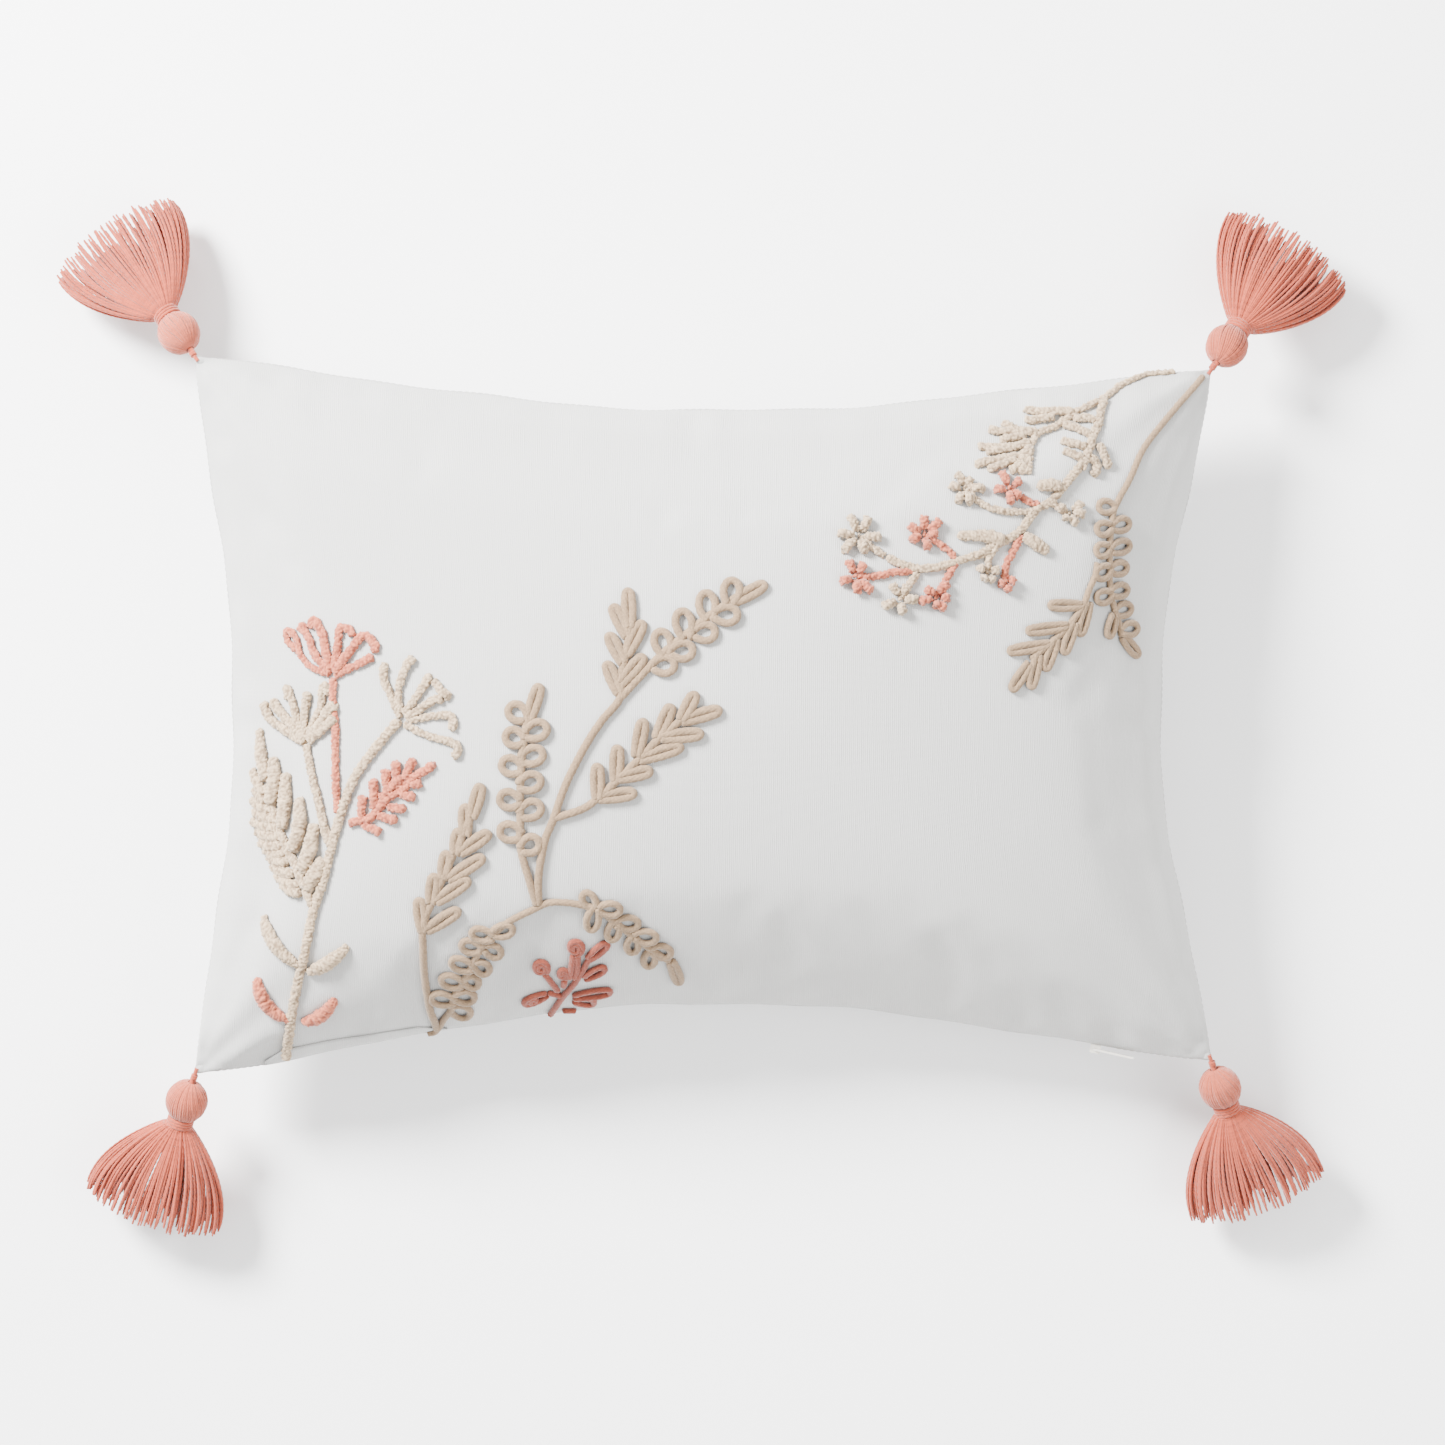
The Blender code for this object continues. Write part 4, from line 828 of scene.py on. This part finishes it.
def sewSprigs():
    cordMotif(
        "leaf_sprig", "natural_cord_yarn", 4.1,
        [[(-131, -155), (-133, -150), (-135, -143), (-137, -130), (-138, -116), (-138, -103), (-132, -89),
          (-125, -73), (-119, -60), (-113, -47)]],
        leaves=[((-138, -107), (-140, -89)), ((-134, -93), (-132, -77)), ((-128, -81), (-126, -66)),
                ((-122, -69), (-120, -55)), ((-117, -60), (-117, -43)), ((-114, -51), (-109, -33)),
                ((-137, -106), (-119, -95)), ((-132, -92), (-114, -80)), ((-126, -81), (-107, -69)),
                ((-120, -68), (-104, -57))])
    cordMotif(
        "berry_sprig", "natural_cord_yarn", 4.1,
        [[(-82, -94), (-86, -80), (-90, -65), (-90, -49), (-90, -35), (-89, -20), (-87, -5), (-85, 1)]],
        leaves=[((-86, -3), (-80, 16))],
        rings=[((-89, -59), (-102, -56)), ((-90, -43), (-102, -40)), ((-89, -27), (-101, -23)),
               ((-88, -13), (-99, -9)), ((-87, -2), (-97, 5)), ((-90, -66), (-79, -61)),
               ((-91, -49), (-78, -44)), ((-91, -35), (-78, -31)), ((-90, -22), (-77, -18)),
               ((-88, -10), (-75, -5))])
    cordMotif(
        "tall_sprig", "natural_cord_yarn", 4.1,
        [[(-81, -94), (-81, -79), (-78, -62), (-74, -52), (-68, -35), (-59, -17), (-50, -3), (-41, 8),
          (-40, 20), (-37, 35), (-35, 49)],
         [(-41, 8), (-29, 21), (-19, 31), (-9, 39), (2, 48), (14, 56)],
         [(-74, -51), (-59, -46), (-51, -40), (-41, -31), (-31, -21), (-21, -11), (-9, -1)]],
        leaves=[((-41, 10), (-48, 27)), ((-39, 25), (-47, 41)), ((-37, 38), (-45, 55)), ((-41, 15), (-28, 30)),
                ((-38, 29), (-29, 47)), ((-36, 42), (-37, 63)), ((14, 55), (32, 65)),
                ((-52, -42), (-52, -23)), ((-43, -33), (-42, -14)), ((-33, -21), (-29, -1)),
                ((-23, -12), (-15, 6)), ((-11, -3), (-3, 12)), ((-52, -41), (-32, -38)),
                ((-42, -31), (-24, -27)), ((-32, -22), (-9, -15)), ((-21, -11), (1, -9)), ((-11, -3), (10, 3))],
        rings=[((-18, 29), (-22, 43)), ((-8, 37), (-11, 53)), ((3, 46), (1, 62)), ((13, 54), (15, 68)),
               ((-25, 24), (-12, 25)), ((-16, 31), (-3, 32)), ((-5, 40), (8, 41)), ((5, 49), (19, 49))])
    cordMotif(
        "arch_sprig", "natural_cord_yarn", 3.8,
        [[(-139, -159), (-132, -155), (-128, -149), (-124, -144), (-123, -138), (-119, -132), (-114, -123),
          (-110, -115), (-104, -108), (-95, -101), (-83, -95), (-76, -92), (-68, -92), (-61, -93), (-53, -95),
          (-44, -101), (-34, -109), (-25, -115), (-16, -121)]],
        leaves=[((-16, -120), (-11, -133))], leafWidth=7.2, ringWidth=9.9,
        rings=[((-53, -95), (-60, -86)), ((-52, -95), (-39, -95)), ((-44, -102), (-30, -102)),
               ((-35, -108), (-21, -109)), ((-26, -115), (-14, -117)), ((-53, -94), (-56, -107)),
               ((-43, -101), (-46, -112)), ((-34, -108), (-36, -118)), ((-25, -115), (-28, -125)),
               ((-104, -107), (-92, -104)), ((-108, -114), (-98, -118)), ((-113, -122), (-104, -126)),
               ((-118, -130), (-109, -132)), ((-123, -138), (-111, -138)), ((-125, -144), (-113, -147)),
               ((-103, -109), (-116, -106)), ((-109, -115), (-121, -112)), ((-113, -124), (-126, -120)),
               ((-118, -132), (-131, -129)), ((-122, -140), (-136, -138))])
    cordMotif(
        "coral_sprig", "terracotta_cord_yarn", 3.5,
        [[(-77, -149), (-74, -145), (-69, -138), (-63, -131), (-57, -121), (-54, -117)],
         [(-66, -130), (-65, -124), (-64, -117)], [(-64, -130), (-62, -124), (-62, -117)],
         coilRoute((-63, -114), 3.9, 250), [(-71, -136), (-75, -131), (-79, -126)],
         coilRoute((-80, -124), 3.7, 300), [(-69, -134), (-68, -129)], coilRoute((-69, -127), 2.6, 270),
         [(-69, -138), (-77, -136)], coilRoute((-84, -140), 2.2, 30), [(-70, -145), (-62, -145)]],
        leaves=[((-57, -120), (-46, -111)), ((-59, -129), (-47, -123)), ((-77, -137), (-90, -142)),
                ((-64, -138), (-44, -135)), ((-64, -140), (-52, -141))], leafWidth=6.9)
    cordMotif(
        "hanging_sprig", "natural_cord_yarn", 3.5,
        [[(247, 167), (239, 158), (227, 144), (217, 131), (210, 116), (205, 107), (202, 100), (201, 92),
          (200, 84), (200, 74), (200, 66), (201, 57), (204, 47), (206, 38)],
         [(194, 76), (193, 69), (190, 62), (187, 54), (180, 44), (174, 38), (167, 32), (161, 27)]],
        leaves=[((206, 39), (215, 28)), ((202, 50), (199, 37)), ((187, 54), (169, 54)), ((180, 44), (158, 41)),
                ((171, 35), (149, 31)), ((161, 26), (151, 11)), ((190, 56), (185, 38)), ((183, 46), (177, 29)),
                ((174, 38), (168, 21)), ((165, 30), (161, 12))],
        leafWidth=7.0, ringWidth=9.8,
        rings=[((201, 92), (211, 96)), ((200, 81), (211, 85)), ((200, 71), (210, 74)), ((200, 60), (210, 63)),
               ((202, 50), (212, 54)), ((205, 41), (215, 44)), ((203, 102), (193, 103)), ((201, 93), (192, 90)),
               ((200, 83), (192, 79)), ((200, 73), (192, 67)), ((201, 60), (192, 56))])


def sewBlossom():
    pileMotif("blossom_branch", "natural_pile_yarn", [
        ([(236, 171), (224, 169), (208, 163), (198, 156), (190, 152), (182, 148), (174, 142), (166, 139),
          (162, 134), (161, 127), (160, 118)], 3.8, None),
        ([(198, 156), (196, 149), (195, 143), (192, 137), (190, 130), (187, 124), (182, 118), (177, 112),
          (171, 105), (164, 101), (159, 94), (154, 89), (145, 84), (136, 79), (126, 76), (117, 73), (106, 72),
          (98, 74), (90, 78)], 4.4, None),
        *[(route, 4.8, None) for route in (
            [(183, 149), (174, 149), (164, 149), (158, 150)], [(174, 147), (164, 145), (158, 145)],
            [(166, 139), (155, 140), (147, 144)], [(164, 139), (151, 139), (140, 140)],
            [(160, 138), (151, 136), (146, 135)], [(162, 134), (150, 131), (135, 132)],
            [(155, 132), (145, 130), (139, 129)], [(160, 128), (150, 126), (138, 124), (134, 122)],
            [(155, 126), (145, 122), (140, 120)], [(161, 132), (156, 123), (151, 119)],
            [(162, 132), (159, 124), (156, 118)], [(195, 144), (189, 146), (182, 145)],
            [(192, 137), (186, 140), (177, 143)], [(190, 132), (184, 133), (176, 135)],
            [(188, 126), (183, 128), (177, 130)], [(195, 134), (197, 128), (200, 121)],
            [(190, 128), (194, 123), (192, 117)], [(186, 123), (189, 121)])],
        ([(177, 112), (171, 113), (164, 112)], 6.4, taperTip),
        ([(157, 89), (164, 84), (171, 80)], 6.4, taperTip),
        ([(149, 85), (139, 88), (125, 88)], 6.4, [1.3, 1.0, 0.7]),
    ])
    for name, slot, stalk, centre, tips in (
        ("blossom_far_left", "natural_pile_yarn", [(90, 78), (84, 82)], (77, 88),
         [(72, 98), (82, 97), (88, 87), (80, 79), (69, 80), (66, 89)]),
        ("blossom_lower", "natural_pile_yarn", [(106, 71), (103, 66)], (97, 57),
         [(92, 64), (101, 64), (106, 56), (98, 49), (88, 53)]),
        ("blossom_upper", "natural_pile_yarn", [(163, 100), (151, 100), (139, 103)], (129, 111),
         [(124, 118), (132, 116), (139, 111), (132, 103), (125, 104), (121, 112)]),
        ("blossom_right", "natural_pile_yarn", [(171, 106), (174, 103)], (180, 99),
         [(174, 103), (178, 95), (184, 93), (188, 98), (187, 104)]),
        ("blossom_middle", "natural_pile_yarn", [(145, 83), (141, 78)], (140, 70),
         [(135, 73), (137, 66), (143, 65), (146, 71)]),
        ("coral_blossom_top", "coral_pile_yarn", [(124, 76), (121, 81)], (109, 89),
         [(109, 98), (117, 96), (116, 88), (111, 81), (102, 85), (101, 93)]),
        ("coral_blossom_left", "coral_pile_yarn", [(104, 71), (93, 70), (84, 68)], (75, 68),
         [(71, 76), (79, 75), (83, 60), (76, 59), (67, 65)]),
        ("coral_blossom_low", "coral_pile_yarn", [(125, 75), (121, 69)], (115, 58),
         [(121, 65), (109, 62), (106, 55), (114, 52), (119, 51), (122, 57)]),
        ("coral_blossom_back", "coral_pile_yarn", [(166, 103), (159, 106)], (151, 111),
         [(147, 119), (157, 115), (156, 106), (151, 103), (143, 110)]),
        ("coral_bud", "coral_pile_yarn", [(157, 89), (153, 81), (149, 73)], (149, 66),
         [(145, 64), (149, 60), (154, 65)]),
    ):
        flowerMotif(name, slot, stalk, centre, tips)


sewMeadow()
sewSprigs()
sewBlossom()
print("embroidery sewn")


# tassels: local X runs from the corner to the cut ends, Z is up off the surface

tassel = {
    "headRadius": 10.7 * mm, "toHead": 5.5 * mm, "wrapLength": 4.0 * mm, "skirtLength": 53 * mm,
    "skirtWidth": 74 * mm, "skirtThickness": 30 * mm, "bell": 0.8, "neck": 5.0 * mm,
    "yarn": 0.72 * mm, "outerYarns": 150, "innerYarns": 80, "ballYarns": 54, "ballYarn": 0.74 * mm,
    "wrapTurns": 3, "wrapYarn": 0.95 * mm, "cord": 1.75 * mm, "knotYarn": 0.85 * mm,
}


def tasselFrame(corner):
    start = Vector(joints["swing_" + corner]["pos_m"])
    ahead = (Vector(joints["lift_" + corner]["pos_m"]) - start).normalized()
    side = Vector((0, 0, 1)).cross(ahead).normalized()
    up = ahead.cross(side)
    return Matrix(((ahead.x, side.x, up.x, start.x), (ahead.y, side.y, up.y, start.y),
                   (ahead.z, side.z, up.z, start.z), (0, 0, 0, 1)))


def placed(matrix, line, facing, size, tone):
    turn = matrix.to_3x3()
    return ([matrix @ Vector(p) for p in line], [turn @ Vector(f) for f in facing], size, tone)


def ballGuides(rng):
    # meridian windings, each with a slight lean, over a core ball
    radius, count = tassel["headRadius"], tassel["ballYarns"]
    middle = tassel["toHead"] + radius
    lines = []
    for k in range(count):
        angle = np.linspace(0.20, math.pi - 0.42, 26)
        lean = 0.35 * math.sin(2 * math.pi * k / count + 1.0) + rng.uniform(-0.05, 0.05)
        turn = 2 * math.pi * (k + rng.uniform(-0.2, 0.2)) / count + lean * np.cos(angle)
        reach = radius - tassel["yarn"] * (0.95 + 0.5 * rng.random())
        line = np.stack([middle - 1.06 * reach * np.cos(angle), reach * np.sin(angle) * np.cos(turn),
                         reach * np.sin(angle) * np.sin(turn)], -1)
        facing = line - np.array([middle, 0, 0])
        facing /= np.linalg.norm(facing, axis=1, keepdims=True)
        lines.append((line, facing, [tassel["ballYarn"]] * len(line), rng.random()))
    return lines


def woundGuide(angle, place, radius, size, tone):
    # yarn wound round the local X axis
    line = np.stack([place, radius * np.cos(angle), radius * np.sin(angle)], -1)
    facing = np.stack([0 * angle, np.cos(angle), np.sin(angle)], -1)
    return line, facing, [size] * len(line), tone


def straightGuide(start, end, count, size, tone):
    line = np.stack([np.linspace(start, end, count), np.zeros(count), np.zeros(count)], -1)
    return line, np.tile([0, 0, 1.0], (count, 1)), [size] * count, tone


def wrapGuides():
    start = tassel["toHead"] + 2 * tassel["headRadius"] - 1.2 * mm
    angle = np.linspace(0, 2 * math.pi * tassel["wrapTurns"], 28 * tassel["wrapTurns"])
    place = start + (tassel["wrapLength"] + 0.6 * mm) * angle / angle[-1]
    return [woundGuide(angle, place, tassel["neck"] + 1.0 * mm, tassel["wrapYarn"], 0.2)]


def skirtGuides(rng):
    # the yarns leave the neck side by side, swell into a bell and end in a ragged cut
    neckEnd = tassel["toHead"] + 2 * tassel["headRadius"] + tassel["wrapLength"]
    lines = []
    outer, inner = tassel["outerYarns"], tassel["innerYarns"]
    for k in range(outer + inner):
        shell = k < outer
        angle = 2 * math.pi * (k + 0.6 * rng.random()) / (outer if shell else inner)
        depth = rng.uniform(0.9, 1.0) if shell else math.sqrt(rng.uniform(0.02, 0.75))
        share = np.linspace(0, 1, 22)
        spread = np.sin(math.pi / 2 * share) ** tassel["bell"]
        wide, thick = (tassel["neck"] * 0.9 + (tassel[size] / 2 - tassel["neck"] - tassel["yarn"]) * spread
                       for size in ("skirtWidth", "skirtThickness"))
        length = tassel["skirtLength"] * (rng.uniform(0.93, 1.0) if shell else rng.uniform(0.86, 0.98))
        bow = 1 - 0.10 * (math.cos(angle) * depth) ** 2
        wander = rng.normal(0, 0.55 * mm) * np.sin(math.pi * share * rng.uniform(0.8, 2.2)) * share
        twist = rng.normal(0, 0.9 * mm) * share ** 2
        line = np.stack([neckEnd - 2.5 * mm + (length * bow + 2.5 * mm) * share,
                         depth * wide * math.cos(angle) + (wander + twist) * math.sin(angle),
                         depth * thick * math.sin(angle) + (wander + twist) * abs(math.cos(angle))], -1)
        facing = np.tile([0, math.cos(angle), math.sin(angle)], (len(line), 1))
        size = np.full(len(line), tassel["yarn"])
        size[-2:] *= (0.95, 0.7)
        lines.append((line, facing, size, rng.random() * (0.7 if shell else 1.0)))
    return lines


def tieGuides():
    # the two-ply cord from the knot into the head
    return [straightGuide(3.0 * mm, tassel["toHead"] + 3 * mm, 12, tassel["cord"], 0.1)]


def knotGuides():
    # two turns of yarn just outside the corner, and the tie that goes into the seam
    angle = np.linspace(0, 4 * math.pi, 36)
    place = 2.1 * mm + 0.7 * mm * np.cos(angle / 4)
    return [woundGuide(angle, place, 1.15 * mm, tassel["knotYarn"], 0.4),
            straightGuide(-2.5 * mm, 3.4 * mm, 10, 1.1 * mm, 0.2)]


def makeTassel(corner, seed):
    rng = np.random.default_rng(seed)
    matrix = tasselFrame(corner)
    parts = (
        ("head", "winding", ballGuides(rng), "coral_head_yarn"),
        ("wrap", "winding", wrapGuides(), "coral_tassel_yarn"),
        ("skirt", "tassel", skirtGuides(rng), "coral_tassel_yarn"),
        ("cord", "tie", tieGuides(), "coral_tassel_yarn"),
    )
    for part, kind, guides, slot in parts:
        piece = spin(f"{part}_yarns_{corner}", kind, [placed(matrix, *line) for line in guides], slot, seed)
        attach(piece, "tassel_" + corner)
        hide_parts(f"tassel_{part}_{corner}")
    knot = spin(f"knot_yarn_{corner}", "winding", [placed(matrix, *line) for line in knotGuides()],
                "coral_tassel_yarn", seed)
    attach(knot, "knot_" + corner)
    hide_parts(f"tassel_knot_{corner}")


for number, corner in enumerate(corners):
    makeTassel(corner, 11 + number)
print("tassels tied")


# carried-over pieces take their finish from the record

for entry in frame["record"]["subparts"]:
    node = frame["nodes"][entry["node"]]
    node.data.materials.clear()
    node.data.materials.append(finishes[entry["material_slot"]])
print("inner pieces and zip finished")


# stage

def addLight(name, energy, size, place):
    lamp = bpy.data.lights.new(name, "AREA")
    lamp.shape = "DISK"
    lamp.energy = energy
    lamp.size = size
    made = bpy.data.objects.new(name, lamp)
    bpy.context.scene.collection.objects.link(made)
    made.location = place
    made.rotation_euler = (-Vector(place)).to_track_quat("-Z", "Y").to_euler()


studio = {
    "reach": 6.0, "floor": 0.95597335, "sky": 1.75,
    "lens": 120, "sensor": 36, "frame": 713 * mm,  # the picture is this wide at the seam
    "lights": (("key", 345, 0.8, (-1.4, 1.2, 1.35)), ("fill", 45, 1.6, (1.5, -0.6, 1.6))),
}


def addStage():
    floorMesh = bpy.data.meshes.new("floor")
    reach = studio["reach"]
    floorMesh.from_pydata([(-reach, -reach, 0), (reach, -reach, 0), (reach, reach, 0), (-reach, reach, 0)],
                          [], [(0, 1, 2, 3)])
    floorFinish, _, shader = newMaterial("paleFloor", 0.9)
    shader.inputs["Base Color"].default_value = (*[studio["floor"]] * 3, 1)
    meshObject("floor", floorMesh, floorFinish)
    world = bpy.data.worlds.new("studio")
    bpy.context.scene.world = world
    world.use_nodes = True
    world.node_tree.nodes["Background"].inputs[0].default_value = (1, 1, 1, 1)
    world.node_tree.nodes["Background"].inputs[1].default_value = studio["sky"]
    for light in studio["lights"]:
        addLight(*light)
    camera = bpy.data.cameras.new("camera")
    camera.lens = studio["lens"]
    camera.sensor_width = studio["sensor"]
    camera.clip_end = 100
    made = bpy.data.objects.new("camera", camera)
    bpy.context.scene.collection.objects.link(made)
    distance = studio["frame"] * studio["lens"] / studio["sensor"]
    made.location = (eyePlace.x, eyePlace.y, pillow["seam"] + distance)
    bpy.context.scene.camera = made


addStage()
